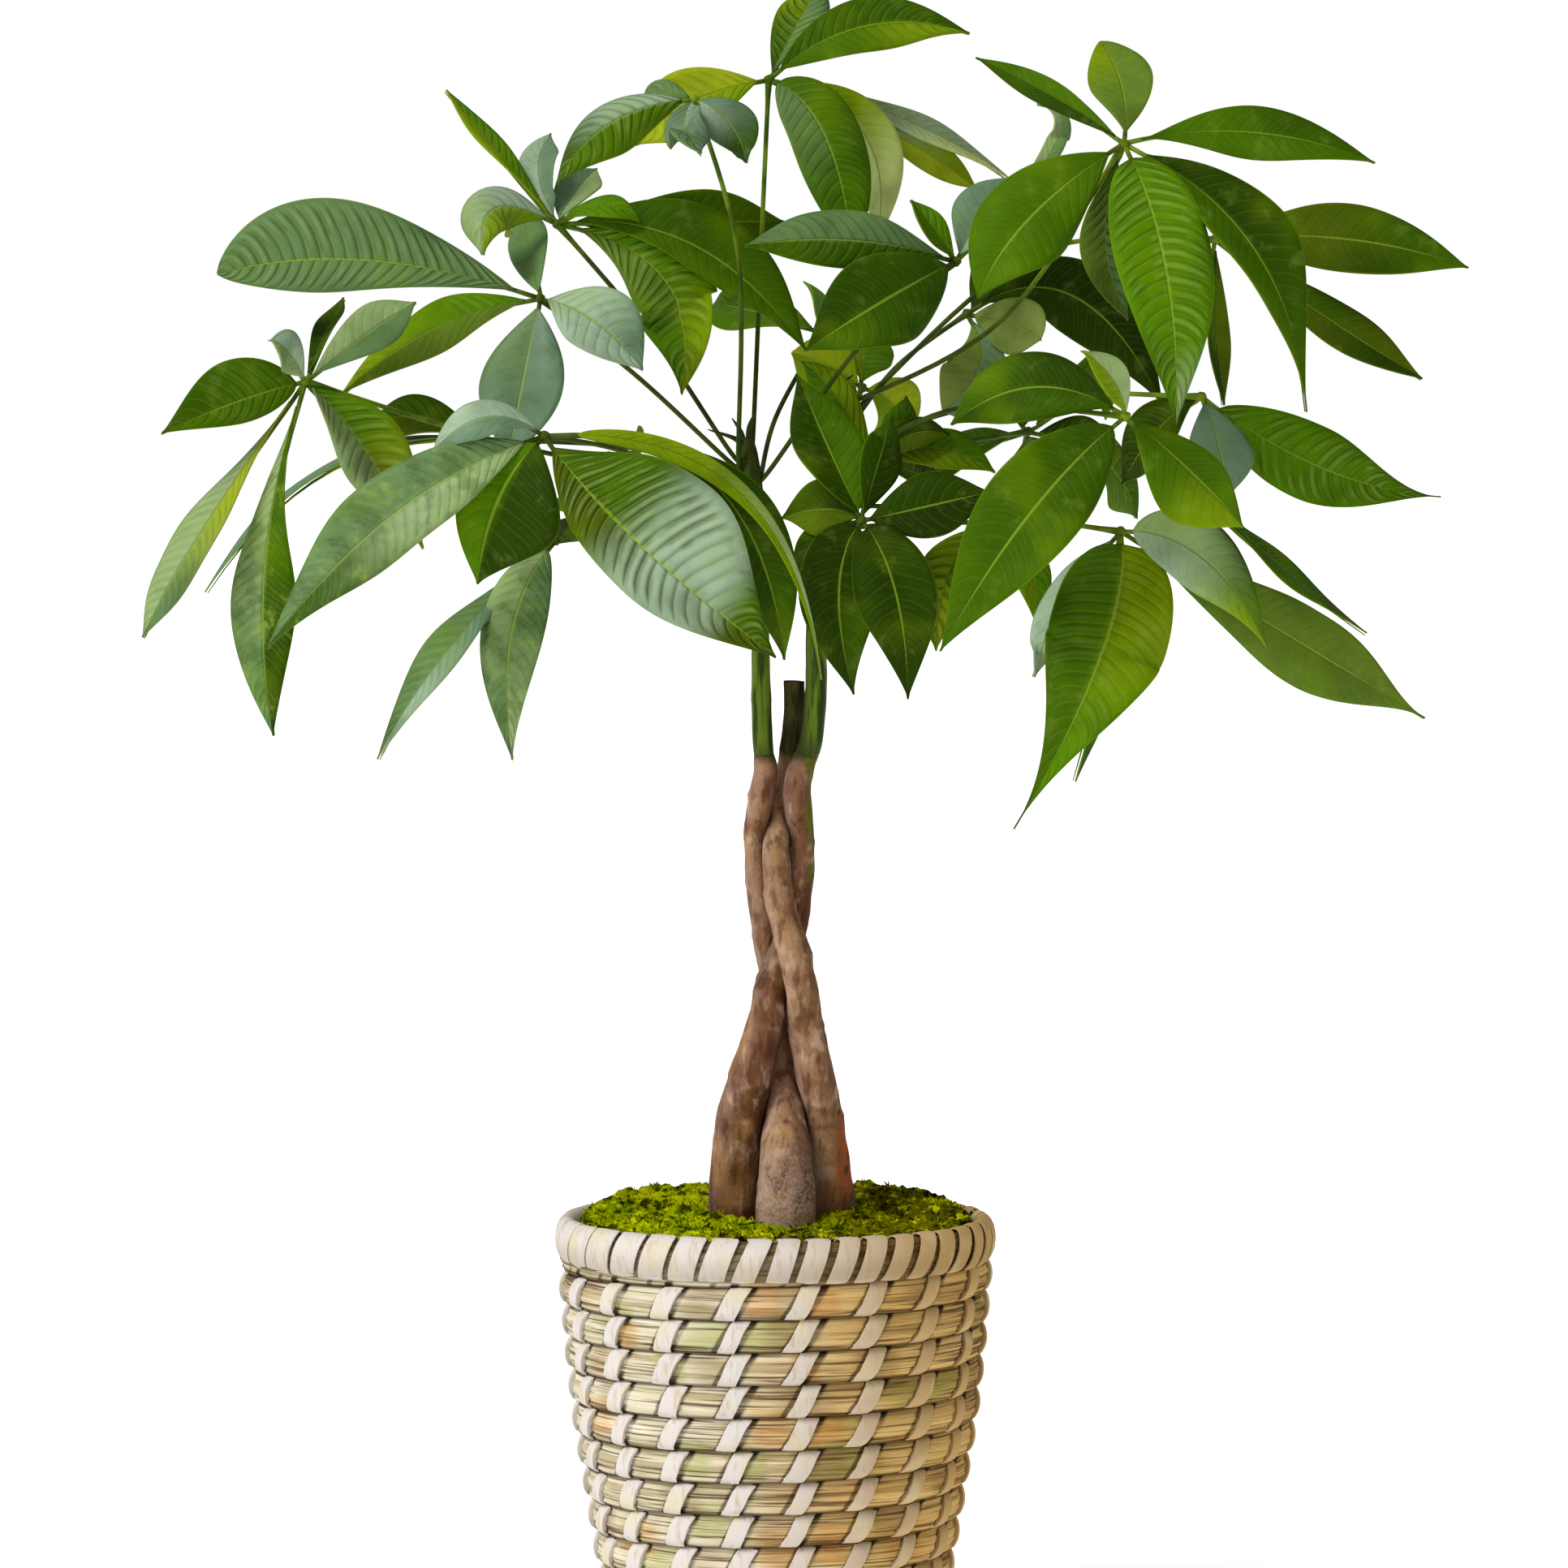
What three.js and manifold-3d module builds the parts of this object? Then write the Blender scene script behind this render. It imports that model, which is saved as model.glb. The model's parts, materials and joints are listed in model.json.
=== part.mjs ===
// Potted money tree: three plaited trunks under a spreading crown of
// compound leaves, standing in a coiled seagrass basket with moss on the soil.
// Millimetres, +Z up. The basket's flat base lies on z = 0 and the front faces -Y.

import * as THREE from 'three';
import { mergeVertices } from 'three/addons/utils/BufferGeometryUtils.js';
import Module from 'manifold-3d';

// Driving dimensions
const GAP = 0.3; // air between two pieces that touch
const BASKET_HEIGHT = 200;
const ROW_PITCH = 15; // one turn of the grass coil
const ROWS = 12;
const ROW_DEPTH = 2.2; // groove between two turns
const WALL = 9.5; // basket wall, outside crest to inside face
const FLOOR = 8; // basket floor
const SIDES = 32; // flats round the basket
const BINDING = 1.2; // thickness of a palm strip
const STITCH_COLUMNS = 19;
const FIRST_COLUMN = -1.44; // angle of the first column, in radians from +X
const STITCH_WIDTH = 10.4;
const STITCH_LEAN = 5; // a stitch leans this far either way from its column
const RIM_WRAPS = 40;
const RIM_RIDGE = 0.9;
const RIM_INSIDE = 91.5; // mouth radius
const POT_TOP = 176; // nursery pot rim
const POT_WALL = 1.5;
const MOSS_FRONT = 196;
const MOSS_RISE = 7.5; // the moss lies this much higher at the back
const BLADE_EDGE = 0.7; // leaf blade at its margin
const BLADE_RIB = 1.5; // leaf blade at its midrib
const BLADE_FOLD = 0.16; // rise of the margins over the midrib, per half width
const STALKLET = 1.5; // half width of the little stalk of a leaflet
const PETIOLE = 1.5; // leaf stalk radius at the knob
const KNOB = 3.3; // radius where the leaflets meet
const TIDY = 0.12; // scraps smaller than this are smoothed away where leaflets join

// The plant is placed as it is seen from the front, at eye level with the crown.
// across and up are read in the plane of the trunks, toward is the depth that a
// point comes forward from that plane.
const EYE_DISTANCE = 3500;
const EYE_HEIGHT = 598;

function place(across, up, toward) {
  const k = (EYE_DISTANCE - toward) / EYE_DISTANCE;
  return new THREE.Vector3(across * k, -toward, EYE_HEIGHT + (up - EYE_HEIGHT) * k);
}

// Outside radius of the basket, by height
const PROFILE = [[0, 77], [35, 83], [76, 89.5], [106, 94.5], [136, 97.7], [174, 101], [200, 101.7]];

function outside(z) {
  for (let i = 1; i < PROFILE.length; i += 1) {
    const [z0, r0] = PROFILE[i - 1];
    const [z1, r1] = PROFILE[i];
    if (z <= z1) {
      return r0 + ((r1 - r0) * (z - z0)) / (z1 - z0);
    }
  }
  return PROFILE[PROFILE.length - 1][1];
}

// Materials
const MATERIALS = {
  seagrass: new THREE.MeshStandardMaterial({ color: 0xb79a62, roughness: 0.85, metalness: 0 }),
  palm_strip: new THREE.MeshStandardMaterial({ color: 0xe6dcc4, roughness: 0.8, metalness: 0 }),
  pot_plastic: new THREE.MeshStandardMaterial({ color: 0x2a2a28, roughness: 0.6, metalness: 0 }),
  soil: new THREE.MeshStandardMaterial({ color: 0x2e2118, roughness: 0.95, metalness: 0 }),
  moss: new THREE.MeshStandardMaterial({ color: 0x5d7a14, roughness: 0.95, metalness: 0 }),
  bark: new THREE.MeshStandardMaterial({ color: 0x8a6a50, roughness: 0.85, metalness: 0 }),
  green_stem: new THREE.MeshStandardMaterial({ color: 0x4e6b1c, roughness: 0.6, metalness: 0 }),
  leaf_deep: new THREE.MeshStandardMaterial({ color: 0x3f6b1a, roughness: 0.5, metalness: 0 }),
  leaf_bright: new THREE.MeshStandardMaterial({ color: 0x5c9412, roughness: 0.5, metalness: 0 }),
  leaf_grey: new THREE.MeshStandardMaterial({ color: 0x6f9470, roughness: 0.45, metalness: 0 }),
};

// Solids
const wasm = await Module();
wasm.setup();

function welded(geometry) {
  const bare = geometry.clone();
  bare.deleteAttribute('normal');
  bare.deleteAttribute('uv');
  return mergeVertices(bare, 1e-4);
}

function solidOf(geometry) {
  const merged = welded(geometry);
  const mesh = new wasm.Mesh({
    numProp: 3,
    vertProperties: new Float32Array(merged.attributes.position.array),
    triVerts: new Uint32Array(merged.index.array),
  });
  return new wasm.Manifold(mesh);
}

function geometryOf(solid) {
  const mesh = solid.getMesh();
  const geometry = new THREE.BufferGeometry();
  const positions = new Float32Array(mesh.numVert * 3);
  for (let i = 0; i < mesh.numVert; i += 1) {
    for (let axis = 0; axis < 3; axis += 1) {
      positions[i * 3 + axis] = mesh.vertProperties[i * mesh.numProp + axis];
    }
  }
  geometry.setAttribute('position', new THREE.BufferAttribute(positions, 3));
  geometry.setIndex(Array.from(mesh.triVerts));
  return geometry;
}

// A closed skin over a stack of rings with the same number of points each. The
// rings run anticlockwise as seen from the end of the stack. A single point may
// close either end, and flips names the sides that take the other diagonal.
function skin(rings, { start = null, end = null, flips = [], loop = false } = {}) {
  const points = [];
  const faces = [];
  const n = rings[0].length;
  rings.forEach((ring) => ring.forEach((p) => points.push(p)));
  const spans = loop ? rings.length : rings.length - 1;
  for (let i = 0; i < spans; i += 1) {
    const here = i * n;
    const next = ((i + 1) % rings.length) * n;
    for (let j = 0; j < n; j += 1) {
      const k = (j + 1) % n;
      if (flips.includes(j)) {
        faces.push(here + j, here + k, next + j, here + k, next + k, next + j);
      } else {
        faces.push(here + j, here + k, next + k, here + j, next + k, next + j);
      }
    }
  }
  const last = (rings.length - 1) * n;
  if (!loop) {
    if (start) {
      points.push(start);
      for (let j = 0; j < n; j += 1) {
        faces.push((j + 1) % n, j, points.length - 1);
      }
    } else {
      for (let j = 1; j < n - 1; j += 1) {
        faces.push(0, j + 1, j);
      }
    }
    if (end) {
      points.push(end);
      for (let j = 0; j < n; j += 1) {
        faces.push(last + j, last + ((j + 1) % n), points.length - 1);
      }
    } else {
      for (let j = 1; j < n - 1; j += 1) {
        faces.push(last, last + j, last + j + 1);
      }
    }
  }
  const geometry = new THREE.BufferGeometry();
  const flat = new Float32Array(points.length * 3);
  points.forEach((p, i) => p.toArray(flat, i * 3));
  geometry.setAttribute('position', new THREE.BufferAttribute(flat, 3));
  geometry.setIndex(faces);
  return geometry;
}

// A turned solid from a closed profile of [radius, z] points, anticlockwise
function turned(profile, sides, radiusAt = null) {
  const rings = [];
  for (let i = 0; i < sides; i += 1) {
    rings.push([...profile].reverse().map(([r, z]) => {
      const a = (i / sides) * Math.PI * 2 + (radiusAt ? radiusAt.twist(z) : 0);
      const rr = radiusAt ? radiusAt.radius(r, i, z) : r;
      return new THREE.Vector3(rr * Math.cos(a), rr * Math.sin(a), z);
    }));
  }
  return skin(rings, { loop: true });
}

// Basket: the grass coil, turn upon turn
function basketCoil() {
  const crest = (z) => outside(z) - BINDING - GAP;
  const points = [new THREE.Vector2(0, 0), new THREE.Vector2(crest(0) - ROW_DEPTH, 0)];
  for (let row = 0; row < ROWS; row += 1) {
    const low = row * ROW_PITCH;
    points.push(new THREE.Vector2(crest(low + 7.5), low + 7.5));
    if (row < ROWS - 1) {
      points.push(new THREE.Vector2(crest(low + ROW_PITCH) - ROW_DEPTH, low + ROW_PITCH));
    }
  }
  const top = ROWS * ROW_PITCH;
  points.push(new THREE.Vector2(crest(top) - ROW_DEPTH, top));
  points.push(new THREE.Vector2(RIM_INSIDE, top));
  points.push(new THREE.Vector2(crest(106) - WALL, 106));
  points.push(new THREE.Vector2(crest(FLOOR) - WALL, FLOOR));
  points.push(new THREE.Vector2(0, FLOOR));
  return new THREE.LatheGeometry(points, SIDES).rotateX(Math.PI / 2);
}

// Basket: the wrapped rim, and the stitches that hang from it in leaning columns
function basketBinding() {
  const base = ROWS * ROW_PITCH + GAP;
  const middle = (outside(BASKET_HEIGHT) + RIM_INSIDE) / 2;
  const half = (outside(BASKET_HEIGHT) - RIM_INSIDE) / 2;
  const profile = [
    [middle - half, base],
    [middle + half - 1, base],
    [middle + half, base + 6],
    [middle + half, base + 14],
    [middle, BASKET_HEIGHT],
    [middle - half, base + 14],
  ];
  const wraps = {
    twist: (z) => ((z - base) / BASKET_HEIGHT) * 0.55,
    radius: (r, i, z) => {
      const outward = r > middle ? 1 : -0.3;
      const lift = i % 2 === 0 ? 0 : RIM_RIDGE;
      return z === base ? r : r - lift * outward;
    },
  };
  let solid = solidOf(turned(profile, RIM_WRAPS * 2, wraps));
  for (let c = 0; c < STITCH_COLUMNS; c += 1) {
    const middleAngle = FIRST_COLUMN + (c / STITCH_COLUMNS) * Math.PI * 2;
    const rings = [];
    const ring = (z, lean) => {
      const r = outside(z);
      const edges = [-1, 1].map((side) => middleAngle + (lean + side * STITCH_WIDTH * 0.5) / r);
      const at = (a, radius) => new THREE.Vector3(radius * Math.cos(a), radius * Math.sin(a), z);
      const middle = (edges[0] + edges[1]) / 2;
      rings.push([at(middle, r - BINDING), at(edges[0], r), at(edges[1], r)]);
    };
    ring(1, -STITCH_LEAN);
    for (let row = 0; row < ROWS; row += 1) {
      const low = row * ROW_PITCH;
      if (row > 0) {
        ring(low + 1, -STITCH_LEAN);
      }
      ring(low + ROW_PITCH - 1, STITCH_LEAN);
    }
    ring(ROWS * ROW_PITCH + 4, STITCH_LEAN);
    solid = solid.add(solidOf(skin(rings)));
  }
  return geometryOf(solid);
}

// Nursery pot inside the basket
function growPot() {
  const low = FLOOR + GAP;
  const points = [
    [0, low], [62, low], [80, POT_TOP - 8], [82, POT_TOP - 8], [82, POT_TOP], [79, POT_TOP],
    [79 - POT_WALL, POT_TOP - 12], [62 - POT_WALL, low + 2], [0, low + 2],
  ];
  return new THREE.LatheGeometry(points.map(([r, z]) => new THREE.Vector2(r, z)), 24).rotateX(Math.PI / 2);
}

function soilBody() {
  const low = FLOOR + GAP + 2 + GAP;
  const points = [[0, low], [59.5, low], [76.6, 163], [77.8, 175.7], [0, 175.7]];
  return new THREE.LatheGeometry(points.map(([r, z]) => new THREE.Vector2(r, z)), 24).rotateX(Math.PI / 2);
}

// Moss: a bumpy mound, higher at the back than at the front
function mossHeight(x, y) {
  const bumps = Math.sin(x * 0.23 + 1.3) * Math.cos(y * 0.19) + 0.6 * Math.sin(x * 0.11 - y * 0.31);
  const back = THREE.MathUtils.smoothstep(y, -25, 80);
  return MOSS_FRONT + MOSS_RISE * back + 1.1 * bumps;
}

function mossBody() {
  const sides = 24;
  const radii = [89.8, 76, 56, 32];
  const rings = [];
  const circle = (r, heightAt) => {
    const ring = [];
    for (let i = 0; i < sides; i += 1) {
      const a = (i / sides) * Math.PI * 2;
      const x = r * Math.cos(a);
      const y = r * Math.sin(a);
      ring.push(new THREE.Vector3(x, y, heightAt(x, y)));
    }
    return ring;
  };
  rings.push(circle(89.8, () => POT_TOP + GAP));
  rings.push(circle(90.9, (x, y) => mossHeight(x, y) - 6));
  radii.forEach((r) => rings.push(circle(r, mossHeight)));
  return skin(rings, {
    start: new THREE.Vector3(0, 0, POT_TOP + GAP),
    end: new THREE.Vector3(0, 0, mossHeight(0, 0)),
  });
}

// Trunks and shoots: height, across, toward and radius along each
const TRUNKS = {
  trunk_left: [
    [120, -22, -4, 11], [196, -19.4, -4, 11.6], [218, -18.7, -3, 11.7], [241, -17, 0, 11.6],
    [256, -14, 3, 10.6], [270, -10, 4.5, 9.6], [290, -4.5, 5, 8.6], [300, -2.8, 1, 8.3],
    [308, 0, -3, 8], [322, 5.5, -5, 7.2], [335, 8, -8, 6.8], [346, 9.5, -7.5, 6.6],
    [357, 10.3, -5, 6.4], [368, 11.4, -3, 6.4], [377, 12.9, 0, 6.3], [386, 10.9, 4, 6.2],
    [395, 9.4, 5, 6], [404, 11.2, 5, 5.6],
  ],
  trunk_front: [
    [120, 6, 10, 12], [190, 4.6, 13, 13.2], [207, 4.9, 13, 13], [219, 4.6, 11, 12],
    [230, 4.6, 9, 11.3], [245, 4.3, 1, 8.9], [256, 3.8, -6.5, 7.8], [270, 3, -12.5, 7.5],
    [290, 1, -14.5, 7.5], [308, -1, -17.8, 7.3], [322, -4.7, -15, 7], [335, -6, -12, 6.7],
    [346, -7.2, -9, 6.4], [357, -7.6, -7, 6.2], [368, -8.5, -5, 6.2], [377, -10.1, -1, 6.3],
    [386, -8.3, 3, 6.1], [395, -6, 4, 5.6], [404, -4.4, 4, 5],
  ],
  trunk_right: [
    [120, 28, -10, 10], [196, 26.4, -9, 10.4], [215, 24.6, -8, 10.1], [237, 22.9, -6, 9.2],
    [247, 21.8, -3.6, 8.8], [256, 20, 0, 8.6], [270, 16.8, 2, 8.3], [290, 13.4, 4, 7.6],
    [300, 12.5, 7.6, 7.1], [308, 11, 9.7, 6.9], [322, 7.5, 9, 6.8], [335, 4.4, 7.5, 6.4],
    [346, 1.8, 5.7, 6.2], [357, 0.5, 5.5, 6.1], [368, 0.3, 5, 5.8], [377, 1.4, 0.5, 4.9],
    [386, 2.2, -5, 4.9], [395, 3.4, -7.2, 4.9], [409, 6.6, -7, 4.7], [427, 8.4, -5, 4.5],
    [445, 8.8, -4.4, 4.4],
  ],
};
const SHOOTS = {
  shoot_left: [
    [404, -4.4, 4, 4.8], [420, -5.6, 4, 4.1], [440, -6.4, 4, 4.2], [480, -7, 3, 4],
    [516, -7.6, 2, 4.2], [534, -10.5, 1, 4.8], [549, -12.5, 0, 4.6], [557, -13, 0, 2.6],
  ],
  shoot_right: [
    [404, 11.2, 5, 5.4], [420, 16, 5, 5], [443, 18.2, 4, 4.8], [473, 18.6, 2, 4.6],
    [520, 21.5, -2, 4.3], [548, 24.4, -5, 4.4], [568, 26.4, -7, 4.2], [577, 27, -8, 2.4],
  ],
};
const DEPTH_RATIO = 0.85; // a trunk is a little flatter than round where it is pressed

function stemRings(stations, sides, grow, ratio) {
  return stations.map(([z, across, toward, r]) => {
    const ring = [];
    for (let i = 0; i < sides; i += 1) {
      const a = (i / sides) * Math.PI * 2;
      ring.push(new THREE.Vector3(
        across + (r + grow) * Math.cos(a),
        -toward + (r * ratio + grow) * Math.sin(a),
        z,
      ));
    }
    return ring;
  });
}

function trunkBody(name, grow = 0) {
  const stations = TRUNKS[name].map((row) => [...row]);
  if (grow > 0) {
    stations[0][0] -= grow;
  }
  return skin(stemRings(stations, 8, grow, DEPTH_RATIO));
}

function shootBody(name) {
  const stations = SHOOTS[name].map((row) => [...row]);
  stations[0][0] += GAP;
  return skin(stemRings(stations, 8, 0, 1));
}

function shootAt(name, height) {
  const rows = SHOOTS[name];
  let i = 1;
  while (i < rows.length - 1 && rows[i][0] < height) {
    i += 1;
  }
  const s = (height - rows[i - 1][0]) / (rows[i][0] - rows[i - 1][0]);
  const [, across, toward, r] = rows[i].map((v, j) => rows[i - 1][j] + (v - rows[i - 1][j]) * s);
  return { centre: new THREE.Vector3(across, -toward, height), r };
}

// Leaflets: the outline, and the curve that the midrib follows
const STATIONS = [0.08, 0.3, 0.57, 0.83];
const WAVE = [0, 0.9, -0.9, 0.6];
const WIDEST = 0.55; // the widest place along most leaflets
const ROOT = 2.5; // how far a leaflet starts behind the middle of the knob

function halfWidth(t, widest) {
  const u = Math.max(0, (t - STATIONS[0]) / (1 - STATIONS[0]));
  const s = Math.sin(Math.PI * u ** (Math.log(0.5) / Math.log(widest)));
  return u < widest ? s ** 0.8 : s ** 1.15;
}

function bezier(a, b, c, t) {
  const u = 1 - t;
  return new THREE.Vector3(
    u * u * a.x + 2 * u * t * b.x + t * t * c.x,
    u * u * a.y + 2 * u * t * b.y + t * t * c.y,
    u * u * a.z + 2 * u * t * b.z + t * t * c.z,
  );
}

// The blade turns about its midrib: 0 faces the viewer, and a positive turn tips
// the upper face up, or outward on a leaflet that hangs.
function bladeFrame(at, along, turn, outward) {
  const eye = new THREE.Vector3(4, -EYE_DISTANCE, EYE_HEIGHT).sub(at).normalize();
  const facing = eye.clone().addScaledVector(along, -eye.dot(along));
  if (facing.length() < 0.3) {
    facing.add(new THREE.Vector3(0, 0, 1).addScaledVector(along, -along.z));
  }
  facing.normalize();
  const up = along.clone().cross(facing);
  if (up.z + up.x * outward * 0.35 < 0) {
    up.negate();
  }
  const angle = (turn * Math.PI) / 180;
  return facing.multiplyScalar(Math.cos(angle)).addScaledVector(up, Math.sin(angle)).normalize();
}

function leaflet(hub, row) {
  const [ma, mu, mt, ta, tu, tt, width, turn, widest = WIDEST] = row;
  const middle = place(ma, mu, mt);
  const tip = place(ta, tu, tt);
  const pull = middle.clone().multiplyScalar(2).addScaledVector(hub, -0.5).addScaledVector(tip, -0.5);
  const outward = Math.sign(ta - 4) || 1;
  const small = hub.distanceTo(tip) < 60;
  const rings = [];
  STATIONS.forEach((t, i) => {
    if (small && i === 1) {
      return;
    }
    const p = bezier(hub, pull, tip, t);
    const along = bezier(hub, pull, tip, t + 0.01).sub(bezier(hub, pull, tip, t - 0.01)).normalize();
    const face = bladeFrame(p, along, turn, outward);
    const side = along.clone().cross(face).normalize();
    const stalk = i === 0;
    const w = stalk ? STALKLET : width * 0.5 * halfWidth(t, widest);
    const rise = stalk ? 0 : w * BLADE_FOLD;
    const edge = stalk ? 1.3 : BLADE_EDGE;
    const rib = stalk ? 2 : BLADE_RIB;
    const corner = (across, lift) => p.clone().addScaledVector(side, across).addScaledVector(face, lift);
    rings.push([
      corner(-w, rise + WAVE[i]),
      corner(-w, rise + WAVE[i] - edge),
      corner(0, -rib),
      corner(w, rise - WAVE[i] - edge),
      corner(w, rise - WAVE[i]),
      corner(0, 0),
    ]);
  });
  const root = hub.clone().addScaledVector(pull.clone().sub(hub).normalize(), -ROOT);
  return skin(rings.map((ring) => ring.reverse()), { start: root, end: tip, flips: [0, 3] });
}

function petiole(leaf, hub) {
  const seat = shootAt(leaf.on, leaf.from);
  const heading = new THREE.Vector3(hub.x - seat.centre.x, hub.y - seat.centre.y, 0).normalize();
  const start = seat.centre.clone().addScaledVector(heading, seat.r + GAP + 0.1);
  const [ma, mu, mt] = leaf.by;
  const middle = place(ma, mu, mt);
  const curve = new THREE.CatmullRomCurve3([
    start,
    start.clone().addScaledVector(heading, 3),
    middle,
    hub,
  ], false, 'centripetal');
  const rings = [];
  const steps = 5;
  for (let i = 0; i <= steps; i += 1) {
    const t = i === 0 ? 0 : i / steps;
    const p = curve.getPoint(t);
    const along = i === 0 ? heading : curve.getTangent(t);
    const side = new THREE.Vector3(0, 0, 1).cross(along);
    if (side.length() < 0.1) {
      side.set(1, 0, 0);
    }
    side.normalize();
    const up = along.clone().cross(side).normalize();
    const r = PETIOLE + (1 - t) * 0.4;
    const ring = [];
    for (let k = 0; k < 4; k += 1) {
      const a = (k / 4) * Math.PI * 2;
      ring.push(p.clone().addScaledVector(side, r * Math.cos(a)).addScaledVector(up, r * Math.sin(a)));
    }
    rings.push(ring);
  }
  return skin(rings);
}

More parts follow.
